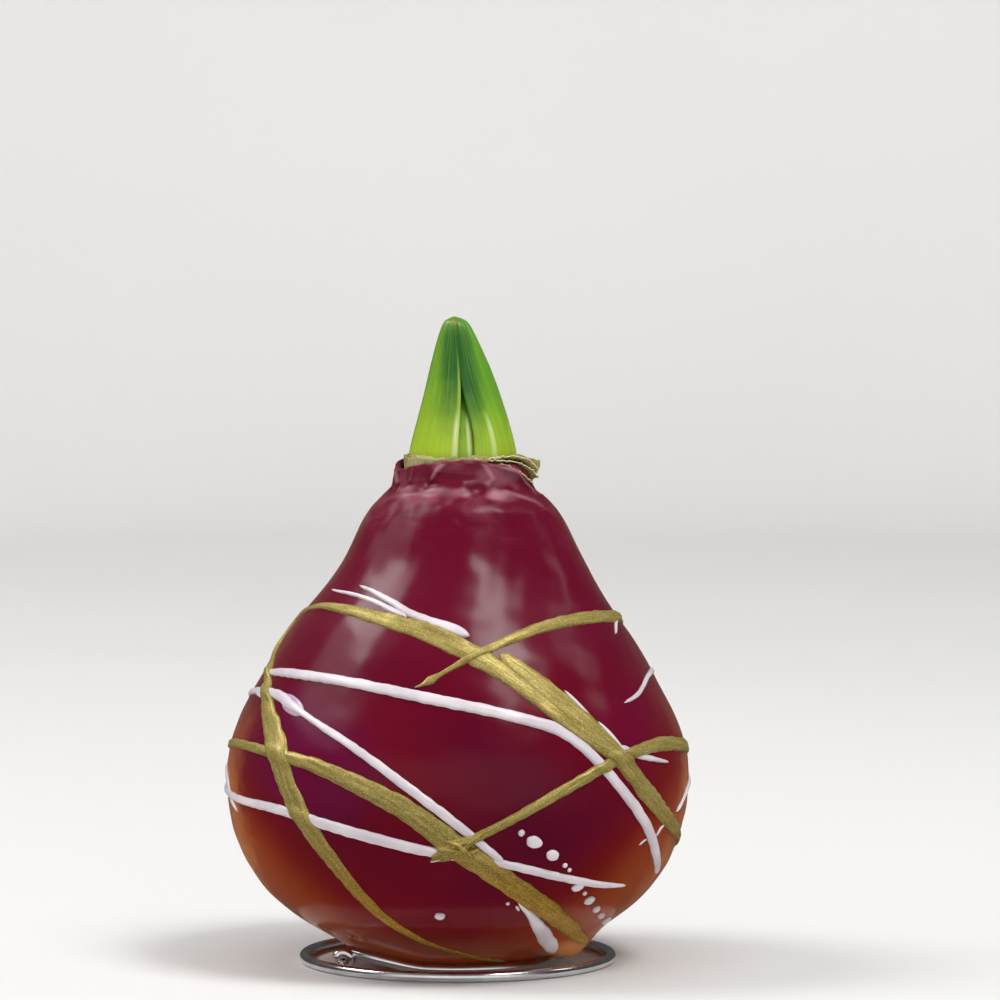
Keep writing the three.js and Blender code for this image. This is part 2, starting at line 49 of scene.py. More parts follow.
WAX_BOTTOM = 0.7
COLLAR_FOOT = 97.6
WAX_TOP = 104.6
WAX_WALL = 2.0
WAX_OUTLINE = [
    (WAX_BOTTOM, 17), (1.6, 19.5), (3, 22), (5.4, 25.8), (9.7, 33), (13.8, 38.1), (17.8, 41.6),
    (22, 44.2), (28, 46.6), (34, 47.7), (40, 48), (46, 47.2), (52, 44.9), (60, 40.7),
    (68, 36), (76, 29.9), (84, 24.8), (92, 20.8), (96.3, 17.6), (98.6, 14.9), (WAX_TOP, 13.5),
]
NECK_LEAN, LEAN_FROM, LEAN_TO = 1.2, 70, 84
SHOULDER_HEIGHT, SHOULDER_REACH = 80, 14
SHOULDER_FLUTES = [(5, 0.45, 23), (3, 0.3, 115)]
COLLAR_PLEATS = [(9, 0.3, 74), (14, 0.2, 0)]
PLEAT_SIZE = 0.5
RIM_WAVES = [(3, 0.4, 0)]
RAGGED_EDGE = [(7, 0.35, -90), (13, 0.25, -50)]
TUNIC_TOP = 105.4
TUNIC_RADIUS = 12.3
POCKET_FLOOR = 97.5
LEAF_FOOT = 97.8
SHOOT_TOP = 134.3
SHOOT_OUTLINE = [
    (LEAF_FOOT, 10.4), (103, 11), (106.4, 11), (112, 9.7), (117.7, 8.1), (123.3, 6.4),
    (127.5, 4.9), (131.6, 3.3), (133.4, 2.3), (SHOOT_TOP, 1.3),
]
SHOOT_MIDDLE = [(LEAF_FOOT, 1.15), (108, 1.05), (123, 0.6), (SHOOT_TOP, -0.4)]
SHOOT_DEPTH = 0.9
INNER_SPIKE_TOP = 133.9
TIP_ROUND = 1.5
WIRE_RADIUS = 1.1
RING_DIAMETER = 66
CRADLE_RADIUS, CRADLE_FLARE, CRADLE_CLIMB = 21.5, 4.8, 2.8
CURL_RADIUS, CURL_PITCH, CURL_TURN = 1.3, 2.5, 430

# ---- Small helpers ----


def eased(t):
    t = np.clip(t, 0, 1)
    return t * t * (3 - 2 * t)


def bell(distance, width):
    return np.exp(-((distance / width) ** 2))


def apart(angle, other):
    return (angle - other + 180) % 360 - 180


def waves(rows, angle):
    return sum(size * np.cos(np.radians(count * angle + start)) for count, size, start in rows)


def cubic(t, start, end, pull_start, pull_end):
    """From start to end as t goes from 0 to 1, with the given slopes there."""
    return (
        (2 * t**3 - 3 * t**2 + 1) * start + (t**3 - 2 * t**2 + t) * pull_start
        + (3 * t**2 - 2 * t**3) * end + (t**3 - t**2) * pull_end
    )


def through(knots, x):
    """Smooth curve through (x, y) knots with the average slope of the neighbours."""
    at, value = np.array(knots, float).T
    before = np.maximum(np.arange(len(at)) - 1, 0)
    after = np.minimum(np.arange(len(at)) + 1, len(at) - 1)
    slope = (value[after] - value[before]) / (at[after] - at[before])
    x = np.clip(x, at[0], at[-1])
    i = np.clip(np.searchsorted(at, x, side="right") - 1, 0, len(at) - 2)
    span = at[i + 1] - at[i]
    return cubic((x - at[i]) / span, value[i], value[i + 1], span * slope[i], span * slope[i + 1])


def ripple(x, y, seed, count=7):
    """Smooth unevenness between about -1 and 1, with about one wave in each unit."""
    rng = np.random.default_rng(seed)
    total = 0
    for _ in range(count):
        turn, start = rng.uniform(0, 2 * np.pi, 2)
        pace = 2 * np.pi * rng.uniform(0.5, 1.5)
        total = total + np.sin(pace * (x * np.cos(turn) + y * np.sin(turn)) + start)
    return total / count**0.5 / 1.2


def unit(vectors):
    return vectors / np.linalg.norm(vectors, axis=-1, keepdims=True)


def stacked(*parts):
    """Points from their coordinates, each of which is a number or an array."""
    return np.stack(np.broadcast_arrays(*parts), axis=-1)


def around(angle, radius, z, middle=0):
    """Points at an angle and a radius round an upright axis at x = middle."""
    turn = np.radians(angle)
    return stacked(middle + radius * np.sin(turn), -radius * np.cos(turn), z)


# ---- Meshes ----


def placed(name, data):
    made = bpy.data.objects.new(name, data)
    bpy.context.scene.collection.objects.link(made)
    return made


def smooth_mesh(name, points, faces, material):
    mesh = bpy.data.meshes.new(name)
    mesh.from_pydata(points.tolist(), [], faces)
    mesh.shade_smooth()
    mesh.materials.append(material)
    return mesh


def add_piece(name, points, faces, coat, nodes=(), uv=None):
    """A closed mesh from points in millimetres, which rides on the only body."""
    material, slot = coat
    mesh = smooth_mesh(name, points * MM, faces, material)
    if uv is not None:
        layer = mesh.uv_layers.new(name="UVMap")
        layer.data.foreach_set("uv", uv[np.concatenate(faces)].ravel())
    work = bmesh.new()
    work.from_mesh(mesh)
    bmesh.ops.recalc_face_normals(work, faces=work.faces)
    work.to_mesh(mesh)
    work.free()
    piece = placed(name, mesh)
    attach(piece, "root")
    if nodes:
        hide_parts(*nodes)


def quads(rows, count, corners):
    """Faces between neighbouring rings, in rows. The first of the rings follows the last."""
    ring, corner = np.indices((rows, corners))
    low, high = ring * corners, (ring + 1) % count * corners
    after = (corner + 1) % corners
    return stacked(low + corner, low + after, high + after, high + corner).reshape(-1, 4).tolist()


def add_tube(name, rings, coat, nodes=(), uv=None):
    """A skin through rings of points, an array of rings x corners x 3, with a fan over
    each end."""
    count, corners, _ = rings.shape
    points = np.concatenate([rings.reshape(-1, 3), [rings[0].mean(axis=0), rings[-1].mean(axis=0)]])
    if uv is not None:
        uv = np.concatenate([uv.reshape(-1, 2), [uv[0].mean(axis=0), uv[-1].mean(axis=0)]])
    sides = [(a, (a + 1) % corners) for a in range(corners)]
    tip, last = count * corners, (count - 1) * corners
    faces = quads(count - 1, count, corners)
    faces += [(tip, b, a) for a, b in sides]
    faces += [(tip + 1, last + a, last + b) for a, b in sides]
    add_piece(name, points, faces, coat, nodes, uv)


# ---- Materials ----


def linear(hex_colour):
    parts = [int(hex_colour[i:i + 2], 16) / 255 for i in (1, 3, 5)]
    return [c / 12.92 if c <= 0.04045 else ((c + 0.055) / 1.055) ** 2.4 for c in parts] + [1.0]


class Paint:
    """Adds nodes to a new material or world. Most methods return their node's output, and
    what they are given may be a number, a colour as text or another node's output."""

    def __init__(self, owner):
        owner.use_nodes = True
        self.owner = owner
        self.tree = owner.node_tree

    def feed(self, socket, value):
        if isinstance(value, bpy.types.NodeSocket):
            self.tree.links.new(value, socket)
        else:
            socket.default_value = linear(value) if isinstance(value, str) else value

    def node(self, kind, inputs=(), **settings):
        """kind is without the ShaderNode that Blender's names start with."""
        made = self.tree.nodes.new("ShaderNode" + kind)
        for key, value in settings.items():
            setattr(made, key, value)
        for key, value in dict(inputs).items():
            self.feed(made.inputs[key], value)
        return made

    def place(self, kind="Object"):
        return self.node("TexCoord").outputs[kind]

    def axes(self, kind="Object"):
        return self.node("SeparateXYZ", {0: self.place(kind)}).outputs

    def noise(self, scale, detail=3, rough=0.5, warp=0, stretch=(1, 1, 1), kind="Object"):
        place = self.node("Mapping", {"Vector": self.place(kind), "Scale": stretch}).outputs[0]
        inputs = {"Vector": place, "Scale": scale, "Detail": detail, "Roughness": rough}
        return self.node("TexNoise", {**inputs, "Distortion": warp}).outputs["Fac"]

    def specks(self, scale):
        made = self.node("TexVoronoi", {"Vector": self.place(), "Scale": scale})
        return self.node("SeparateColor", {0: made.outputs["Color"]}).outputs[0]

    def math(self, kind, *sides):
        return self.node("Math", enumerate(sides), operation=kind).outputs[0]

    def plus(self, a, b):
        return self.math("ADD", a, b)

    def times(self, a, b):
        return self.math("MULTIPLY", a, b)

    def between(self, a, b):
        """How far apart a and b are."""
        return self.math("ABSOLUTE", self.math("SUBTRACT", a, b))

    def span(self, value, low, high, to_low=0, to_high=1, kind="SMOOTHSTEP"):
        """value from low to high becomes to_low to to_high."""
        limits = {"From Min": low, "From Max": high, "To Min": to_low, "To Max": to_high}
        return self.node(
            "MapRange", {"Value": value, **limits}, interpolation_type=kind
        ).outputs[0]

    def ramp(self, *values):
        """As span, but straight."""
        return self.span(*values, kind="LINEAR")

    def mixed(self, share, first, second):
        inputs = {0: share, 6: first, 7: second}
        return self.node("Mix", inputs, data_type="RGBA").outputs[2]

    def over(self, first, second, value, *limits):
        """The first colour turns into the second as the value passes the limits of a span."""
        return self.mixed(self.span(value, *limits), first, second)

    def bump(self, height, distance, strength):
        inputs = {"Height": height, "Distance": distance, "Strength": strength}
        return self.node("Bump", inputs).outputs[0]

    def finish(self, colour, roughness, **inputs):
        """Feeds the material's shader. A number goes on the shader's own socket."""
        shader = self.tree.nodes["Principled BSDF"]
        for key, value in {"Base_Color": colour, "Roughness": roughness, **inputs}.items():
            self.feed(shader.inputs[key.replace("_", " ")], value)
        return self.owner


def paint_for(name):
    return Paint(bpy.data.materials.new(name))


# Soft spots of colour on the red wax, in metres: (x, z, reach in x, reach in z, strength). The pale
# ones are painted highlights on the collar, and the lobe's spot is painted light.
PAINTED_HIGHLIGHT_SPOTS = [
    (-0.0082, 0.0974, 0.0046, 0.0013, 0.3), (0.0098, 0.0977, 0.0034, 0.0011, 0.25),
    (0.0085, 0.1022, 0.0046, 0.0024, 0.35),
]
PURPLE_SPOTS = [
    (-0.029, 0.044, 0.015, 0.013, 0.75), (-0.033, 0.0535, 0.007, 0.007, 0.5),
    (0.034, 0.051, 0.008, 0.010, 0.35),
]
LIT_LOBE_SPOT = (0.0235, 0.0035, 0.007, 0.0036, 0.6)


def on_spot(paint, spot):
    """Full in the middle of a spot on the front and the back, and nothing outside it."""
    middle, level, reach_x, reach_z, strength = spot
    x, _, z = paint.axes()
    off_x = paint.math("DIVIDE", paint.math("SUBTRACT", x, middle), reach_x)
    off_z = paint.math("DIVIDE", paint.math("SUBTRACT", z, level), reach_z)
    off = paint.plus(paint.times(off_x, off_x), paint.times(off_z, off_z))
    return paint.span(off, 1.5, 0.1, 0, strength)


def wax_reds(paint, z):
    """Dark red, more purple higher up and in patches, with a paler bloom and painted sheen on the
    collar, and painted highlights on it.
    """
    upper = paint.over("#600824", "#540829", paint.noise(17, 1), 0.45, 0.75)
    lower = paint.over("#640519", "#520421", paint.noise(28, 2), 0.35, 0.75)
    red = paint.over(lower, upper, z, 0.050, 0.074)
    # Painted sheen, partly the wax's pale bloom: a pale haze high on the shoulder and on the
    # collar.
    bloom_and_sheen = paint.span(paint.noise(95, 4, 0.6, 0.8, (1, 1, 2.2)), 0.48, 0.72)
    red = paint.mixed(paint.times(bloom_and_sheen, paint.span(z, 0.084, 0.102, 0, 0.4)), red, "#94505f")
    for spot in PAINTED_HIGHLIGHT_SPOTS:
        red = paint.mixed(on_spot(paint, spot), red, "#a8707e")
    # UV across tells how far a crease stands out: its crest is thin wax, and it is painted paler as
    # a painted highlight along the crease.
    red = paint.over(red, "#b88690", paint.axes("UV")[0], 0.3, 0.9, 0, 0.55)
    for spot in PURPLE_SPOTS:
        red = paint.mixed(on_spot(paint, spot), red, "#5e0634")
    return red


def terracotta_over(paint, red, x, z):
    """The wax turns terracotta low down, further up at the flanks than in front and behind."""
    outwards = paint.math("POWER", paint.math("DIVIDE", paint.math("ABSOLUTE", x), 0.022), 1.9)
    edge = paint.plus(paint.times(outwards, 0.0084), 0.0048)
    wander = paint.ramp(paint.noise(22), 0.3, 0.7, -0.003, 0.003)
    below = paint.math("SUBTRACT", paint.plus(edge, wander), z)
    low_red = paint.over(red, "#6c0c0a", below, -0.016, 0.002)
    return paint.over(low_red, "#8f3c14", below, -0.005, 0.010)


def painted_rim_glow_over(paint, colour, x, y, z):
    """Painted light: an uneven amber glow down either flank, standing in for light through the thin
    wax at the edges. It is wider low down and at the left.
    """
    radius = paint.math("POWER", paint.plus(paint.times(x, x), paint.times(y, y)), 0.5)
    sideways = paint.between(paint.math("DIVIDE", x, radius), 0.02)
    wander = paint.ramp(paint.noise(24, 5, 0.65), 0.3, 0.7, -0.075, 0.075)
    wander = paint.plus(wander, paint.ramp(z, 0.020, 0.056, 0.02, -0.025))
    flank = paint.span(paint.plus(sideways, wander), 0.905, 1.005, 0, 0.8)
    amber = paint.over("#984c24", "#bc7440", paint.noise(40, 4, 0.6), 0.35, 0.65)
    return paint.mixed(paint.times(flank, paint.span(z, 0.059, 0.034)), colour, amber)


def make_red_wax():
    """The collar is duller than the rest."""
    paint = paint_for("red_wax")
    x, y, z = paint.axes()
    colour = terracotta_over(paint, wax_reds(paint, z), x, z)
    # Painted light: the lowest 9 mm are painted bright orange, standing in for light on the
    # underside.
    colour = paint.over(painted_rim_glow_over(paint, colour, x, y, z), "#c4552a", z, 0.009, 0.001)
    # Painted light: the lobe at the bottom is painted pale amber, as if lit.
    colour = paint.mixed(on_spot(paint, LIT_LOBE_SPOT), colour, "#d69c60")
    relief = paint.plus(paint.times(paint.noise(300, 2), 0.12), paint.noise(90, 2))
    rough = paint.span(paint.noise(45), 0.3, 0.7, 0.17, 0.24)
    rough = paint.plus(rough, paint.span(z, 0.0915, 0.096, 0, 0.13))
    return paint.finish(
        colour, rough, Normal=paint.bump(relief, 0.0001, 0.35), Specular_IOR_Level=0.15,
        Sheen_Weight=0.2, Sheen_Roughness=0.3, Sheen_Tint="#f2b890",
    )


def make_gold_wax():
    """UV is in centimetres, across and along the strand. The gold is painted deeper low down, as a
    painted warm reflection.
    """
    paint = paint_for("gold_wax")
    streak = paint.noise(1, 4, 0.6, 0, (14, 1.2, 1), "UV")
    glitter_and_glints = paint.specks(7000)
    # Painted reflection: deeper, warmer gold low down.
    deep = paint.over("#94690a", "#b08414", streak, 0.35, 0.68)
    upper_gold = paint.over("#8c7a36", "#ad9956", streak, 0.35, 0.68)
    colour = paint.over(deep, upper_gold, paint.axes()[2], 0.014, 0.036)
    # Painted glints: the brightest specks are painted pale as glints of the flakes, and the darkest
    # are darker.
    colour = paint.over(colour, "#e8dc8a", glitter_and_glints, 0.72, 1, 0, 0.55)
    colour = paint.over(colour, "#5d4f1c", glitter_and_glints, 0.22, 0, 0, 0.35)
    height = paint.plus(streak, paint.times(paint.noise(2600, 2), 0.25))
    return paint.finish(
        colour, paint.ramp(glitter_and_glints, 0, 1, 0.58, 0.38), Normal=paint.bump(height, 0.00016, 0.4),
        Metallic=0.35, Specular_IOR_Level=0.4,
    )


def make_white_wax(name, low, high):
    paint = paint_for(name)
    colour = paint.over(low, high, paint.noise(120), 0.35, 0.65)
    return paint.finish(
        colour, 0.28, Normal=paint.bump(paint.noise(700, 2), 0.00008, 0.3),
        Specular_IOR_Level=0.5, Subsurface_Weight=0.12, Subsurface_Scale=0.001,
    )


# Where the shoot's tip has dried a little.
SCORCHED = (-0.0007, -0.0019, 0.1331)


def painted_leaf_shade(paint, green, across, level, up, shade_level, reach):
    """Painted shade, partly the leaf's own darker green: a darker middle beside the front margin,
    which widens upwards from shade_level.
    """
    width = paint.ramp(level, shade_level - 0.1, 1, *reach)
    near = paint.span(paint.math("DIVIDE", across, width), 1.35, 0.5)
    shade = paint.times(near, paint.span(level, shade_level - 0.16, shade_level + 0.3))
    shade = paint.times(shade, paint.span(up, 1, 0.88, 0.35, 1))
    return paint.mixed(shade, green, "#1f5a18")


def make_leaf(name, pale, mid, shade_level, reach, streak, margin):
    """UV: across is 0 at the front margin and 1 at the back, up is 0 at the foot, 1 at the
    tip. streak is the place of a painted highlight, a pale streak that is partly the leaf's
    bloom, and margin tells how strongly the margin is lit."""
    paint = paint_for(name)
    across, up, _ = paint.axes("UV")
    vein = paint.noise(1, 3, 0.65, 0, (46, 0.8, 1), "UV")
    fine = paint.noise(1, 2, 0.5, 0, (150, 1.5, 1), "UV")
    blotch = paint.math("SUBTRACT", paint.noise(140), 0.5)
    level = paint.plus(up, paint.times(blotch, 0.25))
    green = paint.over(pale, mid, level, 0.1, 0.7)
    green = painted_leaf_shade(paint, green, across, level, up, shade_level, reach)
    green = paint.over(green, "#a9c83c", vein, 0.5, 0.72, 0, 0.32)
    green = paint.over(green, "#3c6a1e", fine, 0.35, 0.65, 0, 0.14)
    lit = paint.times(paint.span(across, 0.034, 0.012), paint.span(up, 0.2, 0.4))
    lit = paint.times(lit, paint.span(up, 0.86, 0.58, 0, margin))
    green = paint.mixed(lit, green, "#a8cc50")
    # Painted highlight, partly the leaf's pale bloom: a pale streak at streak, low on the leaf.
    beside = paint.span(paint.between(across, streak), 0.03, 0)
    bloom_and_sheen = paint.times(beside, paint.span(fine, 0.3, 0.6, 0.2, 0.8))
    green = paint.mixed(paint.times(bloom_and_sheen, paint.span(up, 0.5, 0.36)), green, "#e2eab4")
    spot = paint.node("VectorMath", {0: paint.place(), 1: SCORCHED}, operation="DISTANCE")
    green = paint.over(green, "#b5622c", spot.outputs["Value"], 0.0007, 0.0003, 0, 0.7)
    height = paint.plus(paint.times(vein, 0.7), paint.times(fine, 0.3))
    return paint.finish(
        green, 0.3, Normal=paint.bump(height, 0.00022, 0.55),
        Specular_IOR_Level=0.3, Subsurface_Weight=0.08, Subsurface_Scale=0.002,
        Coat_Weight=0.3, Coat_Roughness=0.12,
    )


def make_dry_tunic(name, edged):
    """Papery skin. Where it is edged, UV across is 1 at the loose edge, which is paler."""
    paint = paint_for(name)
    fibre = paint.noise(700, 4, 0.6, 0, (1, 1, 0.25))
    tan = paint.over("#8f8450", "#b3aa72", paint.noise(130), 0.35, 0.65)
    if edged:
        across = paint.axes("UV")[0]
        # Painted shade, partly the skin's own brown: dark brown away from the loose edge, where the
        # pages lie under each other.
        tan = paint.over(tan, "#4c331c", across, 0.85, 0.5)
        tan = paint.over(tan, "#d8cc9c", across, 0.86, 1)
    tan = paint.over(tan, "#d5caa0", fibre, 0.52, 0.8)
    tan = paint.over(tan, "#655530", fibre, 0.42, 0.2)
    return paint.finish(tan, 0.7, Normal=paint.bump(fibre, 0.0002, 0.6), Specular_IOR_Level=0.3)


def make_bright_wire():
    paint = paint_for("bright_wire")
    mark = paint.noise(260)
    colour = paint.over("#e0e0e2", "#f2f2f3", mark, 0.3, 0.7)
    rough = paint.span(mark, 0.3, 0.7, 0.13, 0.22)
    return paint.finish(colour, rough, Normal=paint.bump(mark, 0.00005, 0.3), Metallic=1)


def make_studio_paper():
    paint = paint_for("studio_floor")
    tone = paint.mixed(paint.noise(3, 2), "#d8d7d5", "#dfdedc")
    return paint.finish(tone, 0.8, Specular_IOR_Level=0.1)


# Each material with its slot.
RED_WAX = make_red_wax(), "red_wax"
GOLD_WAX = make_gold_wax(), "gold_wax"
WHITE_WAX = make_white_wax("white_wax", "#cdc3ca", "#ddd5d9"), "white_wax"
THIN_WHITE_WAX = make_white_wax("thin_white_wax", "#a284a2", "#c0aac0"), "white_wax"
# The left leaf is painted a little paler than the right one, as painted light from the left.
LEFT_GREEN = make_leaf(
    "leaf_green", "#b0c82c", "#6c9c24", 0.42, (0.12, 0.32), 0.02, 0.6
), "leaf_green"
RIGHT_GREEN = make_leaf(
    "right_leaf_green", "#a6c22c", "#5e9826", 0.38, (0.08, 0.28), 0.14, 0.0
), "leaf_green"
YOUNG_GREEN = make_leaf(
    "young_green", "#a2c22e", "#4c8a26", 0.46, (0.08, 0.28), 0.06, 0.0
), "young_green"
DRY_TUNIC = make_dry_tunic("dry_tunic", False), "dry_tunic"
DRY_PAGE = make_dry_tunic("dry_page", True), "dry_tunic"
BRIGHT_WIRE = make_bright_wire(), "bright_wire"

# ---- The bulb's surface ----

COLLAR_RADIUS = 14.2

# Creases and ridges of the collar: route of (angle, height), size outwards, width.
COLLAR_FOLDS = [
    ([(-45, 104.4), (-46, 101.4)], 0.45, 0.5),
    ([(-66, 104.2), (-61, 99.8)], 0.4, 0.8),
    ([(-9.6, 105.4), (-22.7, 102.8), (-27, 101)], 0.7, 0.5),
    ([(-36, 104.8), (-33, 100.8)], -0.6, 1.1),
    ([(-4, 104), (-6, 101)], -0.35, 1.5),
    ([(13.5, 105.3), (19, 103.6), (24, 101.5)], 0.6, 0.6),
    ([(29, 104.6), (52.7, 102.8), (67.6, 99.4)], 0.7, 0.55),
    ([(36, 101.8), (52, 100)], -0.45, 1.1),
    ([(-52, 99.6), (-30, 98.9), (-14, 99.4), (4, 98.6)], 0.35, 0.8),
    ([(-24, 97.2), (-4, 98), (14, 97.3), (33, 98.5)], 0.22, 0.9),
    ([(20, 99.8), (40, 98.6), (56, 96.4), (66, 93)], 0.5, 0.6),
    ([(-20, 100.9), (2, 100.2), (20, 100.6)], 0.4, 0.45),
    ([(-62, 96.6), (-48, 97.5), (-34, 96.3)], 0.3, 0.9),
    ([(4, 90.5), (16, 91), (24, 90.2)], 0.3, 0.6),
]


def random_folds(count, first, last, seed):
    """Folds for the side that the front view doesn't show."""
    rng = np.random.default_rng(seed)
    made = []
    for angle in np.linspace(first, last, count):
        foot = angle + rng.uniform(-9, 9)
        size = rng.choice([-0.4, 0.45, 0.6])
        made.append(([(angle, 105), (foot, rng.uniform(99.4, 101.4))], size, rng.uniform(0.5, 1.0)))
    return made


COLLAR_FOLDS += random_folds(15, 84, 282, 5)
FOLDS_FROM = 92
# Folds are averaged over these small steps in (angle, height), which rounds their crests,
# and they are drawn a little lower and wider than listed.
FOLD_STEPS = [(0, 0), (1.2, 0), (-1.2, 0), (0, 0.3), (0, -0.3)]
FOLD_SIZE, FOLD_WIDTH = 0.9, 1.35

# Soft bumps: (angle, height, size outwards, width in degrees, width in height).
WAX_BUMPS = [
    (54, 6.2, 1.1, 15, 3.2), (33, 4.6, -0.8, 4.5, 2.2), (14, 95.6, 0.9, 50, 2.4),
    (-40, 75, 0.7, 28, 7), (-66.5, 16.3, -0.5, 0.643, 0.45),
]
LOBE_SAG = (54, 6.8, 3.4, 17, 2)
RIM_DIPS = [(88, 5.3, 20), (-76, 1.5, 28), (32, 0.5, 10)]


def route_distance(angle, height, route, radius):
    """Distance in millimetres to a line of (angle, height) points drawn on a cylinder."""
    turn = np.radians(radius)
    x, y = apart(angle, route[0][0]) * turn, height
    best = np.full(np.broadcast(x, y).shape, 1e9)
    for (a0, h0), (a1, h1) in zip(route, route[1:]):
        x0, x1 = apart(a0, route[0][0]) * turn, apart(a1, route[0][0]) * turn
        dx, dy = x1 - x0, h1 - h0
        t = np.clip(((x - x0) * dx + (y - h0) * dy) / (dx * dx + dy * dy), 0, 1)
        best = np.minimum(best, np.hypot(x - x0 - t * dx, y - h0 - t * dy))
    return best


def neck_shift(height):
    return NECK_LEAN * eased((height - LEAN_FROM) / (LEAN_TO - LEAN_FROM))


def bulge(angle, height):
    shoulder = bell(height - SHOULDER_HEIGHT, SHOULDER_REACH)
    collar = eased((height - COLLAR_FOOT + 1) / 3)
    return shoulder * waves(SHOULDER_FLUTES, angle) + collar * (
        PLEAT_SIZE + waves(COLLAR_PLEATS, angle)
    )


def folds(angle, height):
    """Creases, ridges and runs of the collar, outwards, with rounded crests."""
    if np.max(height) < FOLDS_FROM:
        return np.zeros(np.broadcast(angle, height).shape)
    return sum(sharp_folds(angle + a, height + h) for a, h in FOLD_STEPS) / len(FOLD_STEPS)


def sharp_folds(angle, height):
    turn = np.radians(angle)
    swell = 0
    for route, size, width in COLLAR_FOLDS:
        off = route_distance(angle, height, route, COLLAR_RADIUS)
        swell = swell + FOLD_SIZE * size * bell(off, FOLD_WIDTH * width)
    swell = swell * eased((height - FOLDS_FROM) / 4)
    # The collar ends in a broken lip that has run down onto the shoulder.
    lip = 98.3 + 0.6 * np.cos(2 * turn + 1) + 0.3 * np.cos(5 * turn)
    strength = 0.55 + 0.45 * ripple(angle / 26, 0, 14)
    swell = swell + strength * (0.5 * bell(height - lip, 1) - 0.25 * bell(height - lip - 1.6, 0.7))
    # Shallow runs below the lip, here and there.
    run = 95.4 + 0.9 * np.cos(3 * turn + 0.6) + 0.4 * np.cos(7 * turn)
    return swell + 0.2 * np.maximum(0, ripple(angle / 22, 0, 15)) * bell(height - run, 1.1)


def bump(angle, height, spot):
    middle, level, size, spread, depth = spot
    return size * bell(apart(angle, middle), spread) * bell(height - level, depth)


def relief(angle, height):
    """Fine unevenness of the wax that the solids leave out, outwards."""
    swell = 0.08 * ripple(angle / 40, height / 18, 11) + 0.05 * ripple(angle / 14, height / 7, 12)
    swell = swell * eased(height / 12) + folds(angle, height)
    return swell + sum(bump(angle, height, spot) for spot in WAX_BUMPS)


def rim_height(angle):
    dips = sum(size * bell(apart(angle, middle), spread) for middle, size, spread in RIM_DIPS)
    return WAX_TOP + waves(RIM_WAVES, angle) - dips + 0.12 * ripple(angle / 14, 0, 3)


def on_wax(angle, radius, height, outside=1):
    """Where a point of the round outline ends up. outside is 0 for the coat's inner side."""
    uneven = bulge(angle, height) + outside * relief(angle, height)
    r = radius + np.minimum(1, radius / 12) * uneven
    share = np.maximum(0, (height - COLLAR_FOOT) / (WAX_TOP - COLLAR_FOOT))
    z = height + share * (rim_height(angle) - WAX_TOP) - outside * bump(angle, height, LOBE_SAG)
    return around(angle, r, z, neck_shift(height))


def wax_point(angle, height):
    return on_wax(angle, through(WAX_OUTLINE, height), height)


SLOPE_STEP = 0.3


def wax_slopes(angle, height):
    """How the surface point moves with the angle and with the height, and the normal."""
    step = SLOPE_STEP
    side = (wax_point(angle + step, height) - wax_point(angle - step, height)) / (2 * step)
    up = (wax_point(angle, height + step) - wax_point(angle, height - step)) / (2 * step)
    return side, up, unit(np.cross(side, up))


def inset_outline(heights, inset):
    """The outline moved inwards, as (radius, height) points."""
    points = []
    for height in heights:
        low, high = max(height - SLOPE_STEP, WAX_BOTTOM), min(height + SLOPE_STEP, WAX_TOP)
        slope = (through(WAX_OUTLINE, high) - through(WAX_OUTLINE, low)) / (high - low)
        depth = inset / np.hypot(1, slope)
        points.append((through(WAX_OUTLINE, height) - depth, height + slope * depth))
    return points


CREST_FULL = 0.75
RIM_ROUND = 0.35
BODY_LEVELS = [95, 86, 76, 66, 56, 46, 34, 23, 13.8, 7.4, 3, WAX_BOTTOM]


def add_wax_coat():
    """The coat is a shell: its outside, a rounded rim, the inner side of its collar, and
    its inside round the bulb."""
    angles = np.linspace(-180, 180, 320, endpoint=False)
    rings = [on_wax(angles, radius, WAX_BOTTOM) for radius in (6.0, 11.0, 14.5)]
    crest = [np.zeros_like(angles) for _ in rings]
    top = WAX_TOP - RIM_ROUND
    heights = np.concatenate([
        np.arange(WAX_BOTTOM, 12, 0.36), np.arange(12, FOLDS_FROM, 0.62),
        np.arange(FOLDS_FROM, COLLAR_FOOT, 0.3), np.arange(COLLAR_FOOT, top, 0.2),
    ])
    rings += [wax_point(angles, height) for height in heights]
    crest += [folds(angles, height) for height in heights]
    neck_radius = TUNIC_RADIUS + 0.3
    outer = wax_point(angles, top)
    inner = on_wax(angles, neck_radius, top, 0)
    for share in np.linspace(0, 1, 7):
        ring = outer + (inner - outer) * share
        ring[:, 2] += 0.45 * np.sin(np.pi * share)
        rings.append(ring)
    levels = [(neck_radius, height) for height in np.linspace(top - 0.6, COLLAR_FOOT + 0.8, 9)]
    levels += inset_outline(BODY_LEVELS, WAX_WALL)
    rings += [on_wax(angles, radius, height, 0) for radius, height in levels]
    crest += [np.zeros_like(angles)] * (len(rings) - len(crest))
    uv = stacked(np.clip(np.array(crest) / CREST_FULL, 0, 1), 0)
    add_tube("wax_coat_skin", np.array(rings), RED_WAX, ["wax_coat"], uv)


# ---- The bulb and its papery neck ----


def tunic_fold(angle, height):
    """How much, and how many millimetres, the tunic folds out over the low rim at the right."""
    fold = bell(apart(angle, 86), 22)
    return fold, 3.6 * fold * eased((height - rim_height(angle) + 0.3) / 5)


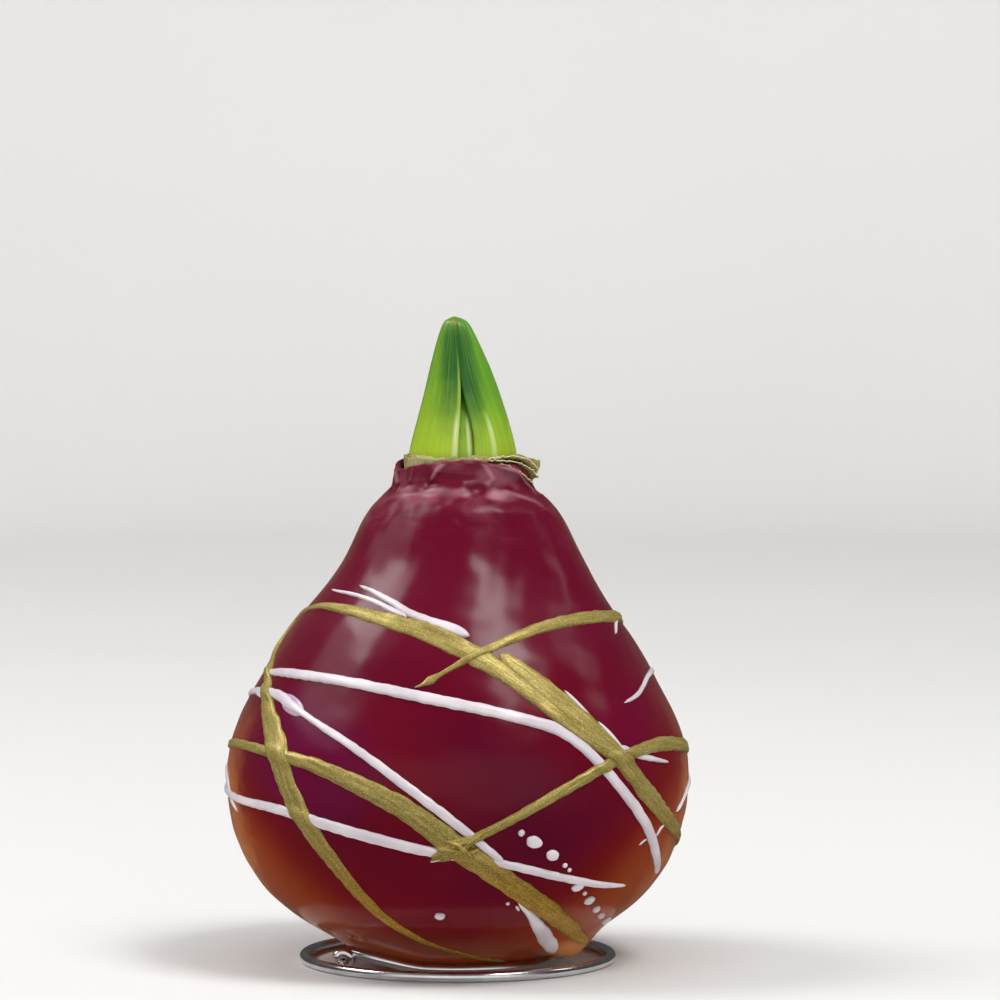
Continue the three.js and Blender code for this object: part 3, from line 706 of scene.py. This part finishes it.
def add_bulb():
    """The bulb inside the wax, with the thin ragged tunic that stands out of the rim."""
    angles = np.linspace(-180, 180, 300, endpoint=False)
    levels = reversed(inset_outline(BODY_LEVELS, WAX_WALL + 0.3))
    rings = [on_wax(angles, radius, height, 0) for radius, height in levels]
    teeth = 0.16 * ripple(angles / 9, 0, 21) + 0.08 * ripple(angles / 3, 0, 22)
    crinkle = 0.16 * ripple(angles / 7, 0, 23)

    def wall(height, radius, ragged=1):
        fold, out = tunic_fold(angles, height)
        rise = max(0.0, (height - COLLAR_FOOT - 2) / (TUNIC_TOP - COLLAR_FOOT - 2))
        r = radius + out + ragged * crinkle * rise
        z = height + rise * (0.5 * waves(RAGGED_EDGE, angles) + teeth - 0.9 * fold)
        return around(angles, r, z, neck_shift(height))

    outside = [(97.8, 12.0), (99.6, 12.0), (102.6, 12.2), (TUNIC_TOP, TUNIC_RADIUS)]
    inside = [(99.6, 11.4), (TUNIC_TOP, TUNIC_RADIUS - 0.4)]
    rings += [wall(h, through(outside, h)) for h in np.linspace(97.8, TUNIC_TOP, 26)]
    rings += [wall(h, through(inside, h)) for h in np.linspace(TUNIC_TOP, 99.6, 20)]
    rings += [wall(POCKET_FLOOR, radius, 0) for radius in (11.4, 5.0)]
    add_tube("bulb_tunic", np.array(rings), DRY_TUNIC, ["bulb"])


# A sheet's section goes up its outer side (1) and back down its inner side (-1).
SHEET_SHARES = np.concatenate([np.linspace(0, 1, 12), np.linspace(1, 0, 12)])
SHEET_SIDES = np.repeat([1, -1], 12)

# Layers that hug the shoot inside the neck: half width, half depth and top.
NECK_LAYERS = [(11.8, 11.3, 105.5), (11.4, 10.5, 105.7)]
LAYER_FOOT = 99.0


def add_neck_layer(name, across, deep, top, seed):
    """A thin ragged sheet all round the shoot."""
    angles = np.linspace(-180, 180, 240, endpoint=False)
    turn = np.radians(angles)
    crinkle = 0.16 * ripple(angles / 11, 0, seed) + 0.07 * ripple(angles / 4, 0, seed + 1)
    edge = top + 0.3 * ripple(angles / 24, 0, seed + 2) + 0.12 * ripple(angles / 6, 0, seed + 3)
    fold, _ = tunic_fold(angles, TUNIC_TOP)
    profile = []
    for share, side in zip(SHEET_SHARES, SHEET_SIDES):
        thick = side * (0.275 - 0.15 * share) + crinkle * share
        z = LAYER_FOOT + (edge - LAYER_FOOT) * share - 0.5 * fold * share
        out = 1.3 * fold * share**2
        x = 1.1 + (across + thick + out) * np.sin(turn)
        profile.append(stacked(x, -(deep + thick + out * 0.5) * np.cos(turn), z))
    rings = np.array(profile).transpose(1, 0, 2)
    count, corners, _ = rings.shape
    add_piece(name, rings.reshape(-1, 3), quads(count, count, corners), DRY_TUNIC)


# Pages of the dry tunic that peel outwards over the low rim at the right. Each has the
# (angle, radius, height) of its loose edge, how far its root is below it and how it bulges.
PAGES = [
    ([(25, 12.8, 105.4), (39, 13.5, 105.8), (54, 14.5, 105.7), (68, 15.3, 104.6),
      (79, 15.7, 103), (92, 15.5, 101.9), (108, 14.4, 102.6)], 1.9, 0.5),
    ([(24, 13.3, 105), (38, 13.9, 104.9), (50, 14.4, 104.6), (65, 15.3, 103.2),
      (75, 15.8, 101.7), (90, 15.8, 100.5)], 1.2, 0.9),
    ([(33, 13.7, 104.2), (44, 14.2, 103.6), (54, 14.9, 102.3), (64, 15.5, 100.6),
      (76, 15.9, 99.4)], 0.8, 1),
    ([(60, 13.4, 105.7), (78, 14, 104.6), (96, 14.3, 104), (118, 13.9, 104.3),
      (136, 13.3, 105)], 2.2, 0.3),
    ([(84, 14.9, 103.9), (98, 15.2, 102.9), (114, 14.9, 103.4), (128, 14.1, 104.4)], 1.6, 0.6),
]
ROOT_RADIUS = 12.5


def add_page(number, edge, drop, arch):
    """A thin ragged sheet from the tunic's wall to its loose, curled edge."""
    angle, radius, height = smooth_route(edge, 24).T
    share = np.linspace(0, 1, len(angle))
    ends = np.sqrt(np.clip(1 - (2 * share - 1) ** 6, 0.05, 1))
    ragged = 0.2 * ripple(share * 9, 0, 40 + number) + 0.12 * ripple(share * 31, 0, 45 + number)
    profile = []
    for u, side in zip(SHEET_SHARES, SHEET_SIDES):
        reach = ROOT_RADIUS + (radius + ragged - ROOT_RADIUS) * u**1.3 * ends
        crease = 0.14 * ripple(share * 14, 2 * u, 50 + number) * u
        z = height - drop * (1 - u) + arch * 2 * u * (1 - u) + crease
        thick = side * (0.16 - 0.07 * u)
        profile.append(around(angle, reach - 0.3 * thick, z + thick, neck_shift(WAX_TOP)))
    rings = np.array(profile).transpose(1, 0, 2)
    uv = stacked(SHEET_SHARES[None], share[:, None])
    add_tube(f"neck_page_{number}", rings, DRY_PAGE, uv=uv)


# ---- Strands of drizzled wax ----


def smooth_route(route, per_span=40):
    """Centripetal curve through the route's points, as in the solids."""
    p = np.array(route, float)
    p = np.vstack([2 * p[0] - p[1], p, 2 * p[-1] - p[-2]])
    gaps = np.maximum(np.sum(np.diff(p, axis=0) ** 2, axis=1) ** 0.25, 1e-4)
    t = np.linspace(0, 1, per_span, endpoint=False)[:, None]
    parts = []
    for i in range(1, len(p) - 2):
        d0, d1, d2 = gaps[i - 1:i + 2]
        before = (p[i] - p[i - 1]) / d0 - (p[i + 1] - p[i - 1]) / (d0 + d1)
        after = (p[i + 2] - p[i + 1]) / d2 - (p[i + 2] - p[i]) / (d1 + d2)
        ahead = (p[i + 1] - p[i]) / d1
        parts.append(cubic(t, p[i], p[i + 1], d1 * (before + ahead), d1 * (ahead + after)))
    return np.vstack([*parts, p[-2][None]])


class Track:
    """A strand that is already laid, so that a later one can climb over it."""

    def __init__(self, line, half, top):
        self.half, self.top = half, top
        self.tree = kdtree.KDTree(len(line))
        for i, point in enumerate(line):
            self.tree.insert(Vector(point), i)
        self.tree.balance()

    def lift(self, points):
        found = [self.tree.find(Vector(point))[1:] for point in points.reshape(-1, 3)]
        index, away = (np.array(part) for part in zip(*found))
        half = self.half[index]
        share = 1 - eased((away - 0.55 * half) / (0.6 * half + 0.9))
        return (self.top[index] * share).reshape(points.shape[:-1])


TRACKS = []
STRAND_CORNERS = 15
EMBEDDED = 0.14
LAID_PACE = 0.5
NARROWEST = 0.35
END_ROUND = 1.4


def along_route(route):
    """Evenly spaced places: how far along each is, and its angle, height and width."""
    knots = smooth_route(route)
    line = wax_point(knots[:, 0], knots[:, 1])
    walked = np.concatenate([[0], np.cumsum(np.linalg.norm(np.diff(line, axis=0), axis=1))])
    s = np.linspace(0, walked[-1], max(8, int(walked[-1] / LAID_PACE)))
    angle, height, width = (np.interp(s, walked, column) for column in knots.T)
    return s, angle, height, np.maximum(width, NARROWEST)


def steps_across(line, angle, height):
    """How much the angle and the height change for each millimetre across the line."""
    side, up, normal = wax_slopes(angle, height)
    across = unit(np.cross(np.gradient(line, axis=0), normal))
    ss, uu, su = (np.sum(a * b, axis=1) for a, b in ((side, side), (up, up), (side, up)))
    cs, cu = np.sum(across * side, axis=1), np.sum(across * up, axis=1)
    det = ss * uu - su**2
    return (cs * uu - cu * su) / det, (cu * ss - cs * su) / det


def lay_strand(name, route, look, nodes, seed, climbs=False):
    """A strand of wax along a route of (angle, height, width) on the red wax."""
    coat, tall, rough, wrinkle = look
    s, angle, height, width = along_route(route)
    line = wax_point(angle, height)
    per_angle, per_height = steps_across(line, angle, height)
    end = min(END_ROUND, 0.8 * width.max())
    taper = np.sqrt(np.clip(np.minimum(s, s[-1] - s) / end, 0.01, 1))
    full = tall * np.minimum(1, 0.4 + 0.28 * width) * (0.35 + 0.65 * taper)
    full = full * (1 + 0.12 * ripple(s / 9, 0, seed + 3))
    u = np.linspace(-1, 1, STRAND_CORNERS)
    left, right = ripple(s / 3.1, 0, seed), ripple(s / 3.7, 0, seed + 1)
    edge = 1 + rough * np.where(u < 0, left[:, None], right[:, None])
    offset = 0.5 * (width * taper)[:, None] * edge * u
    a = angle[:, None] + per_angle[:, None] * offset
    h = height[:, None] + per_height[:, None] * offset
    foot = wax_point(a, h)
    _, _, outwards = wax_slopes(a, h)
    lift = np.zeros(foot.shape[:2])
    for track in TRACKS if climbs else []:
        lift = np.maximum(lift, track.lift(foot))
    dome = np.clip(1 - np.abs(u) ** 3, 0, 1) ** 0.75
    crease = wrinkle * ripple(offset / 1.1, s[:, None] / 9, seed + 5) * dome**0.5
    rise = full[:, None] * dome * (1 + crease) + lift * np.clip(1.25 * dome + 0.1, 0, 1)
    rise[:, [0, -1]] = -EMBEDDED
    top = foot + outwards * rise[..., None]
    under = foot[:, -2:0:-4] - outwards[:, -2:0:-4] * 0.4
    uv = stacked(offset / 10, s[:, None] / 10)
    uv = np.concatenate([uv, uv[:, -2:0:-4]], axis=1)
    add_tube(name, np.concatenate([top, under], axis=1), coat, nodes, uv)
    TRACKS.append(Track(line, width / 2, full + lift[:, STRAND_CORNERS // 2] * 0.9))


# Wax, height in the middle, unevenness of the edges and unevenness of the top.
WHITE_LOOK = (WHITE_WAX, 0.66, 0.06, 0.04)
SPLASH_LOOK = (WHITE_WAX, 0.45, 0.05, 0.03)
GOLD_LOOK = (GOLD_WAX, 0.56, 0.06, 0.1)
KNOT_LOOK = (GOLD_WAX, 0.75, 0.16, 0.2)

# Routes of the strands, (angle, height, width), as in the solids or close to them. The first
# two white ones run together.
WHITE_NAMES = ["1_a", "1_b", "2", "3", "4", "5", "6", "7"]
WHITE_ROUTES = [
    [(-307, 56.4, 0.6), (-300, 57.4, 1), (-284, 60.4, 1.1), (-265, 60.5, 1.6), (-215, 56, 2),
     (-155, 47, 2), (-120, 39.5, 1.8), (-95, 36.5, 1.6), (-68, 35.8, 1.8), (-48, 35.2, 2.2),
     (-29, 32.4, 2.5), (-9, 28.9, 2.4), (11, 26, 1.9), (28, 22.5, 1.9), (42, 20.1, 1.6),
     (54, 19, 0.6)],
    [(-289, 33, 0.7), (-280, 36.2, 1), (-265, 38.5, 1.5), (-235, 42, 1.8), (-200, 45, 1.8),
     (-150, 49, 1.7), (-105, 54, 1.4), (-80, 57.2, 1.6), (-60, 57.6, 2.2), (-53, 56.4, 2.4),
     (-47, 55.1, 1.5), (-31, 50.6, 1.7), (-19, 45.6, 1.9), (-4, 36.8, 2.1), (12, 26, 1.6)],
    [(-80, 61, 1.2), (-60, 62, 2.1), (-33, 61.4, 2.3), (-7, 58.7, 2.6), (15, 55.3, 2.6),
     (29, 51.6, 2.7), (38, 45, 2.4), (43.5, 40.2, 2.4), (53, 32.8, 2.6), (61, 26.5, 2.5),
     (72, 20, 1.5)],
    [(-48.9, 79.8, 0.5), (-40.4, 79, 1), (-27.5, 77.1, 1.5), (-19.1, 75.2, 1.8),
     (-10.9, 73.7, 2.1), (-2, 72.2, 2.7), (4.4, 70.7, 2)],
    [(-67.5, 78.4, 0.5), (-48.4, 78, 0.9), (-35.6, 77, 1.1), (-25.8, 75.5, 1.3),
     (-18.8, 74.2, 1.4)],
    [(45, 48.2, 1.6), (52, 46, 1.5), (65, 43.7, 0.6)],
    [(17.5, 17.4, 0.8), (22, 14.8, 1.7), (27.5, 11.6, 2.8), (35, 8.7, 3.5), (43, 7, 3.2)],
    [(67, 69.5, 0.5), (74, 71.4, 0.8), (84, 72.3, 0.8)],
]

# Small white splashes that the solids leave out.
WHITE_SPLASHES = [
    [(32.4, 59.8, 0.4), (34.6, 57.9, 0.9), (37, 55.5, 1), (39, 53.6, 0.5)],
    [(40.4, 53.4, 0.6), (42.9, 50.6, 1.5), (45.2, 48.3, 1.3), (46.8, 47.6, 0.6)],
    [(24.9, 56, 0.8), (28.4, 53.8, 1.6), (31.9, 50.8, 1.8), (35.2, 47.4, 1.4)],
    [(60.1, 28.8, 0.5), (61.7, 30.2, 0.8), (63.5, 31.1, 0.5)],
    [(52.8, 27.6, 0.35), (54, 28.2, 0.4), (55.6, 28.7, 0.45)],
    [(-77, 57.6, 2.4), (-73, 57.2, 1.9), (-69.4, 56.6, 0.8)],
    [(-88, 41.5, 1.3), (-81.3, 38.4, 1.8), (-76.4, 34.9, 1.3), (-71.3, 32.9, 0.5)],
    [(17.2, 16.6, 0.7), (18.6, 15.4, 0.6)],
    [(-6.5, 26.3, 0.5), (-2.5, 27.4, 0.9)],
]

GOLD_ROUTES = [
    [(-178, 43, 0.8), (-150, 40.5, 2.4), (-120, 41.5, 2.6), (-90, 45.4, 2), (-72, 46.9, 2),
     (-50, 46.3, 2.5), (-35, 44.5, 3.3), (-13.5, 37.6, 4.8), (1, 28.9, 5.4), (11.4, 22.9, 5),
     (25, 16.4, 4.9), (37.6, 11.7, 4.4), (49.5, 9.1, 3.3), (58, 8.3, 1.6)],
    [(150, 31, 0.8), (135, 36, 1.8), (115, 40.1, 2.4), (97, 43.9, 3), (80, 46.1, 3.2),
     (63, 47.5, 3.2), (52, 47, 2.6), (41, 45.1, 2.5), (25.7, 40, 2.4), (10.6, 33.7, 2),
     (2, 30.3, 1.9), (-6.5, 26.6, 0.8)],
    [(27, 2.7, 0.6), (12, 3.7, 1.1), (0, 5.3, 1.3), (-11, 7.6, 1.6), (-22.5, 13.6, 2.7),
     (-33.3, 25.9, 3.9), (-41.2, 34.9, 5), (-46.3, 41.4, 5.4), (-52, 48.1, 6.2),
     (-62, 54.4, 4.4), (-77, 62, 2.4), (-88, 67.5, 1.4), (-88, 71.4, 1.2), (-71, 74.8, 1.4),
     (-50, 75.2, 2.4), (-31, 74, 3.4), (-13, 71.9, 4.2), (1, 68.6, 4.7), (9.4, 65.7, 4.7),
     (16, 62.7, 4), (24, 58, 3.6), (33, 51.8, 3.4), (43, 46.8, 4.2), (53, 38.9, 4.7),
     (66, 31.8, 3.7), (80, 27.3, 2.4), (97, 23.8, 1.8), (118, 22.8, 0.8)],
    [(176, 50, 0.8), (150, 58, 2), (120, 66, 2.6), (95, 71.2, 3), (68, 73, 3),
     (52, 73.2, 3), (31, 71.9, 2.6), (15, 69.3, 2.2), (1, 65.5, 1.4), (-5, 63.3, 1.1),
     (-7.5, 62.3, 1.9), (-9.5, 61.5, 0.9), (-12, 60.8, 0.5)],
]

# The third gold strand splits in two here, and the second one ends in a crumpled knot.
GOLD_SPLIT = [(13.9, 67.2, 2.8), (17.2, 65.5, 3.8), (22.9, 62.3, 4.4), (30.2, 57.8, 5),
              (36.6, 53.2, 4.6), (43.4, 48.3, 2.8), (50, 43, 1)]
GOLD_KNOT = [
    [(-6.2, 27.6, 0.6), (-3, 28.9, 1.4), (1, 30.9, 1.6), (5.2, 31.6, 0.7)],
    [(-5, 29.6, 0.6), (-1.5, 29.2, 1.3), (2.4, 28.6, 1.5), (5.8, 29.4, 0.6)],
    [(-4.2, 26.6, 0.5), (-1, 27.7, 1.2), (3, 30.4, 1.3), (7.2, 32.9, 0.8)],
    [(-2.5, 31, 0.5), (0.5, 30.3, 1.1), (3.4, 28.2, 1.1), (4.6, 26.8, 0.5)],
]


def add_drizzle():
    for i, (name, route) in enumerate(zip(WHITE_NAMES, WHITE_ROUTES)):
        nodes = [f"white_strand_{name[0]}"]
        lay_strand(f"white_strand_{name}_wax", route, WHITE_LOOK, nodes, 100 + 10 * i)
    for i, route in enumerate(WHITE_SPLASHES):
        lay_strand(f"white_splash_{i + 1}", route, SPLASH_LOOK, [], 300 + 10 * i)
    for i, route in enumerate([*GOLD_ROUTES, GOLD_SPLIT]):
        lay_strand(f"gold_strand_{i + 1}", route, GOLD_LOOK, ["gold_drizzle"], 400 + 10 * i,
                   climbs=i < len(GOLD_ROUTES))
    for i, route in enumerate(GOLD_KNOT):
        lay_strand(f"gold_knot_{i + 1}", route, KNOT_LOOK, ["gold_drizzle"], 500 + 10 * i,
                   climbs=True)


# White drops, (angle, height, width across, height of the drop on the wax, tilt).
DROPS = [
    (16, 32.2, 1.4, 1.4, 0), (19.4, 30.2, 3.5, 2.5, -15), (24.6, 27.3, 2.8, 2.3, -20),
    (28.6, 25, 1.1, 1.1, 0), (30.3, 23.9, 0.9, 0.9, 0), (34.6, 20.1, 3, 1.9, 20),
    (38.2, 18.4, 1, 1, 0), (41.4, 16.7, 2.6, 1.9, 30), (47, 14.4, 1.7, 1.8, 0),
    (53, 12.5, 1.8, 1.7, 0), (62, 10.8, 2.6, 1.9, 45), (-4.9, 14.6, 2.2, 1.8, 0),
    (14.6, 17.2, 0.8, 0.8, 0),
]
# The pale ellipse half under a strand at the left.
SMEAR = (-51.4, 56.1, 9.4, 3.6, -20)


# Rings of a drop: share of its width, and share of its height or, below 0, millimetres.
DROP_PROFILE = [(0.5, -0.4), (1, -EMBEDDED), (0.97, 0.32), (0.88, 0.62), (0.7, 0.84),
                (0.45, 0.96), (0.2, 1)]


def add_drop(name, drop, tall, coat, nodes, seed, uneven=0.06):
    """A dome of wax that follows the surface."""
    angle, height, width, length, tilt = drop
    side, up, _ = wax_slopes(np.array(angle), np.array(height))
    turn = np.linspace(0, 2 * np.pi, 44, endpoint=False)
    outline = 1 + uneven * ripple(np.cos(turn) * 0.7, np.sin(turn) * 0.7, seed)
    lean = np.radians(tilt)
    rings = []
    for share, rise in DROP_PROFILE:
        x = share * width / 2 * outline * np.cos(turn)
        y = share * length / 2 * outline * np.sin(turn)
        a = angle + (x * np.cos(lean) - y * np.sin(lean)) / np.linalg.norm(side)
        h = height + (x * np.sin(lean) + y * np.cos(lean)) / np.linalg.norm(up)
        _, _, normal = wax_slopes(a, h)
        rings.append(wax_point(a, h) + normal * (rise * tall if rise > 0 else rise))
    add_tube(name, np.array(rings), coat, nodes)


def add_drops():
    for i, drop in enumerate(DROPS):
        node = f"white_drop_{i + 1:02d}"
        tall = 0.75 * min(1, drop[2] / 1.8)
        add_drop(f"{node}_wax", drop, tall, WHITE_WAX, [node], 600 + i)
    add_drop("white_smear", SMEAR, 0.3, THIN_WHITE_WAX, [], 640, uneven=0.02)


# ---- Leaves ----


# (Node, paint, side, top, how far the front edge keeps back low down, height below which it
# does, where the edge ends up, how far it rolls outwards, seed).
LEAVES = [
    ("leaf_left", LEFT_GREEN, -1, SHOOT_TOP, 0.9, 120, 0.08, 0.12, 31),
    ("leaf_right", RIGHT_GREEN, 1, 134.2, 2.9, 124, -0.3, -0.5, 32),
]
LEAF_THICKNESS, LEAF_MARGIN = 2.3, 0.55
RIBS = 30


def add_leaf(node, green, side, top, kept_back, slit_top, edge, rolled, seed):
    """Half of a ring round the shoot at each level, with flutes and fine ribs."""
    share = 1 - (1 - np.linspace(0, 1, 90)[:, None]) ** 1.35
    height = LEAF_FOOT + (top - LEAF_FOOT) * share
    over = np.clip((height - top + TIP_ROUND) / TIP_ROUND, 0, 1)
    half = through(SHOOT_OUTLINE, height + SHOOT_TOP - top)
    half = half * np.sqrt(np.maximum(1 - over**3, 0.06))
    edge = edge + kept_back * eased((slit_top - height) / 16)
    first = np.arcsin(np.minimum(0.7, edge / half))
    last = np.pi - np.arcsin(np.minimum(0.5, 0.05 / half))
    across = np.linspace(0, 1, 46)
    turn = first + (last - first) * across
    thick = np.minimum(LEAF_THICKNESS, 0.55 * half)
    margin = np.minimum(LEAF_MARGIN, 0.3 * half)
    deep = margin + (thick - margin) * np.maximum(np.sin(turn), 0) ** 1.5
    uneven = 0.16 * ripple(across * 7, share * 1.2, seed)
    uneven = uneven + 0.035 * np.cos(2 * np.pi * across * RIBS + 2 * share)
    uneven = uneven + rolled * bell(across, 0.06) * eased((share - 0.02) / 0.3)
    outer = half + uneven * np.minimum(1, half / 5)
    inner = np.maximum(half - deep, 0.15)

    def skin(radius):
        x = through(SHOOT_MIDDLE, height) + side * radius * np.sin(turn)
        return stacked(x, -radius * SHOOT_DEPTH * np.cos(turn), height)

    rings = np.concatenate([skin(outer), skin(inner)[:, ::-1]], axis=1)
    uv = stacked(across, share)
    uv = np.concatenate([uv, uv[:, ::-1]], axis=1)
    add_tube(f"{node}_blade", rings, green, [node], uv)


def add_inner_leaf():
    """The young leaf is a spike, set back low down and slim above."""
    share = 1 - (1 - np.linspace(0, 1, 80)[:, None]) ** 1.6
    height = LEAF_FOOT + (INNER_SPIKE_TOP - LEAF_FOOT) * share
    full = through(SHOOT_OUTLINE, height)
    slim = eased((height - 112) / 10)
    half = (full - 3.1) * (1 - slim) + (0.62 * full - 0.35) * slim
    half = np.maximum(half, 0.2) * np.sqrt(np.maximum(1 - share**12, 0.01))
    turn = np.linspace(0, 2 * np.pi, 64, endpoint=False)
    radius = half + 0.14 * ripple(turn * 1.4, share, 33) * np.minimum(1, half / 3)
    x = through(SHOOT_MIDDLE, height) + radius * np.sin(turn)
    y = -0.35 - 1.3 * (1 - slim) - radius * SHOOT_DEPTH * np.cos(turn)
    uv = stacked(1 - np.abs(turn / np.pi - 1), share)
    rings = stacked(x, y, height)
    add_tube("inner_leaf_blade", rings, YOUNG_GREEN, ["inner_leaf"], uv)


# ---- Wire foot ----


# The wire runs from the back over the right, the front and the left, so its angle falls:
# the ring's start and end, the reach of the sweep, and the inner turn's climb and end.
RING_FROM, RING_TO, SWEEP, CLIMB_FROM, CRADLE_TO = 172.0, -160.0, 70, -376, -418.0
CURL_AHEAD = np.array([-0.9, 0.43, 0])
WIRE_ENDS = np.radians(np.linspace(10, 80, 5))


def wire_path():
    """A ring, a sweep inwards behind the bulb, a turn that cradles it, and a curled end."""
    ring_radius = RING_DIAMETER / 2 - WIRE_RADIUS
    ring = around(np.arange(RING_FROM, RING_TO, -2), ring_radius, WIRE_RADIUS)
    angle = np.arange(RING_TO, CRADLE_TO, -2)
    inwards = eased((RING_TO - angle) / SWEEP)
    climb = eased((CLIMB_FROM - angle) / (CLIMB_FROM - CRADLE_TO))
    radius = ring_radius + (CRADLE_RADIUS - ring_radius) * inwards + CRADLE_FLARE * climb
    cradle = around(angle, radius, WIRE_RADIUS + CRADLE_CLIMB * climb)
    along = unit(CURL_AHEAD)
    sideways = np.array([-along[1], along[0], 0])
    low = WIRE_RADIUS + CRADLE_CLIMB - CURL_RADIUS
    turn = np.radians(np.arange(0, CURL_TURN, 9))[:, None]
    curl = around(CRADLE_TO, CRADLE_RADIUS + CRADLE_FLARE, low)
    curl = curl + along * CURL_RADIUS * np.sin(turn) + sideways * CURL_PITCH * turn / (2 * np.pi)
    curl = curl + np.array([0, 0, 1]) * CURL_RADIUS * np.cos(turn)
    return np.vstack([ring, cradle, curl])


def add_wire_foot():
    path = wire_path()
    forward = unit(np.gradient(path, axis=0))
    corners = np.linspace(0, 2 * np.pi, 20, endpoint=False)[:, None]
    up = np.array([0.0, 0.0, 1.0])
    circles = []
    for ahead in forward:
        up = unit(up - ahead * (up @ ahead))
        side = np.cross(ahead, up)
        circles.append(WIRE_RADIUS * (np.cos(corners) * up + np.sin(corners) * side))

    def rounded(i, way, turns):
        """Rings that close an end of the wire in a dome."""
        over = 0.6 * WIRE_RADIUS * way * forward[i]
        return [path[i] + circles[i] * np.cos(turn) + over * np.sin(turn) for turn in turns]

    rings = rounded(0, -1, WIRE_ENDS[::-1])
    rings += [point + circle for point, circle in zip(path, circles)]
    rings += rounded(-1, 1, WIRE_ENDS)
    add_tube("wire_foot_round", np.array(rings), BRIGHT_WIRE, ["wire_foot"])


# ---- Studio ----


def add_floor_piece(name, profile, mirrored):
    """A turned sheet through (radius, height) points in metres."""
    turn = np.linspace(0, 360, 96, endpoint=False)
    rings = np.array([around(turn, radius, height) for radius, height in profile])
    faces = quads(len(rings) - 1, len(rings), len(turn))
    floor = placed(name, smooth_mesh(name, rings.reshape(-1, 3), faces, make_studio_paper()))
    floor.visible_glossy = mirrored


def add_backdrop():
    """A round floor that curves up into a low wall. Only its middle shows in the gloss."""
    near, far, bend, wall = 0.041, 1.3, 0.35, 0.7
    turns = np.linspace(0.15, np.pi / 2, 10)
    curve = [(far + bend * np.sin(turn), bend - bend * np.cos(turn)) for turn in turns]
    flat = [(radius, 0.0) for radius in (near, 0.3, 0.8, far)]
    add_floor_piece("studio_floor_middle", [(0.0005, 0.0), (0.03, 0.0), (near, 0.0)], True)
    add_floor_piece("studio_floor", [*flat, *curve, (far + bend, wall)], False)


# Soft lamps that face the bulb: azimuth, which is 0 in front and 90 at the right, elevation,
# width and height in metres, watts, and whether they show in the gloss.
LAMPS = {
    "key_top": (51, 59, 0.66, 0.6, 22, True),
    "left_top": (-98, 50, 0.9, 0.56, 17, True),
    "left_low": (-90, 34, 1.1, 0.42, 2.8, True),
    "right_top": (100, 42, 0.3, 0.6, 1.3, True),
    "low_fill": (-12, 7, 1.2, 0.3, 9, False),
    "top_fill": (0, 82, 1.5, 1.5, 11, False),
}
LAMP_DISTANCE = 1.9
LAMP_TARGET = Vector((0, 0, 0.06))


def add_lamp(name, azimuth, elevation, width, height, power, mirrored):
    light = bpy.data.lights.new(name, "AREA")
    light.shape = "RECTANGLE"
    light.size = width
    light.size_y = height
    light.energy = power
    tilt = np.radians(elevation)
    away = Vector(around(azimuth, np.cos(tilt), np.sin(tilt)))
    lamp = placed(name, light)
    lamp.location = LAMP_TARGET + LAMP_DISTANCE * away
    lamp.rotation_euler = away.to_track_quat("Z", "Y").to_euler()
    lamp.visible_glossy = mirrored


def make_studio_air():
    """Even light from above. Beside the low wall it is brighter in front than behind."""
    world = bpy.data.worlds.new("studio_air")
    paint = Paint(world)
    x, y, z = paint.axes("Generated")
    front = paint.times(paint.span(y, -0.3, -0.9), paint.span(z, -0.25, -0.05))
    low = paint.mixed(front, "#48484a", "#ececee")
    high = paint.over("#7e7f82", "#5c5d60", x, -0.7, 0.7)
    air = paint.over(low, high, z, 0.38, 0.7)
    paint.feed(world.node_tree.nodes["Background"].inputs["Color"], air)
    return world


def add_studio():
    add_backdrop()
    for name, values in LAMPS.items():
        add_lamp(name, *values)
    bpy.context.scene.world = make_studio_air()
    bpy.context.scene.view_settings.view_transform = "Standard"


def add_camera():
    """A long lens from a little above the shoot's tip, which looks slightly down."""
    distance, height, right, aim = 1.2, 0.17, 0.0088, 0.0962
    camera = bpy.data.cameras.new("camera")
    camera.sensor_width = 36
    camera.lens = 208.6
    view = placed("camera", camera)
    view.location = (right, -distance, height)
    ahead = Vector((right, 0, aim)) - view.location
    view.rotation_euler = ahead.to_track_quat("-Z", "Y").to_euler()
    bpy.context.scene.camera = view


add_camera()
add_wax_coat()
add_bulb()
for i, sizes in enumerate(NECK_LAYERS):
    add_neck_layer(f"neck_layer_{i + 1}", *sizes, 60 + 10 * i)
for i, page in enumerate(PAGES):
    add_page(i + 1, *page)
for leaf in LEAVES:
    add_leaf(*leaf)
add_inner_leaf()
add_drizzle()
add_drops()
add_wire_foot()
add_studio()
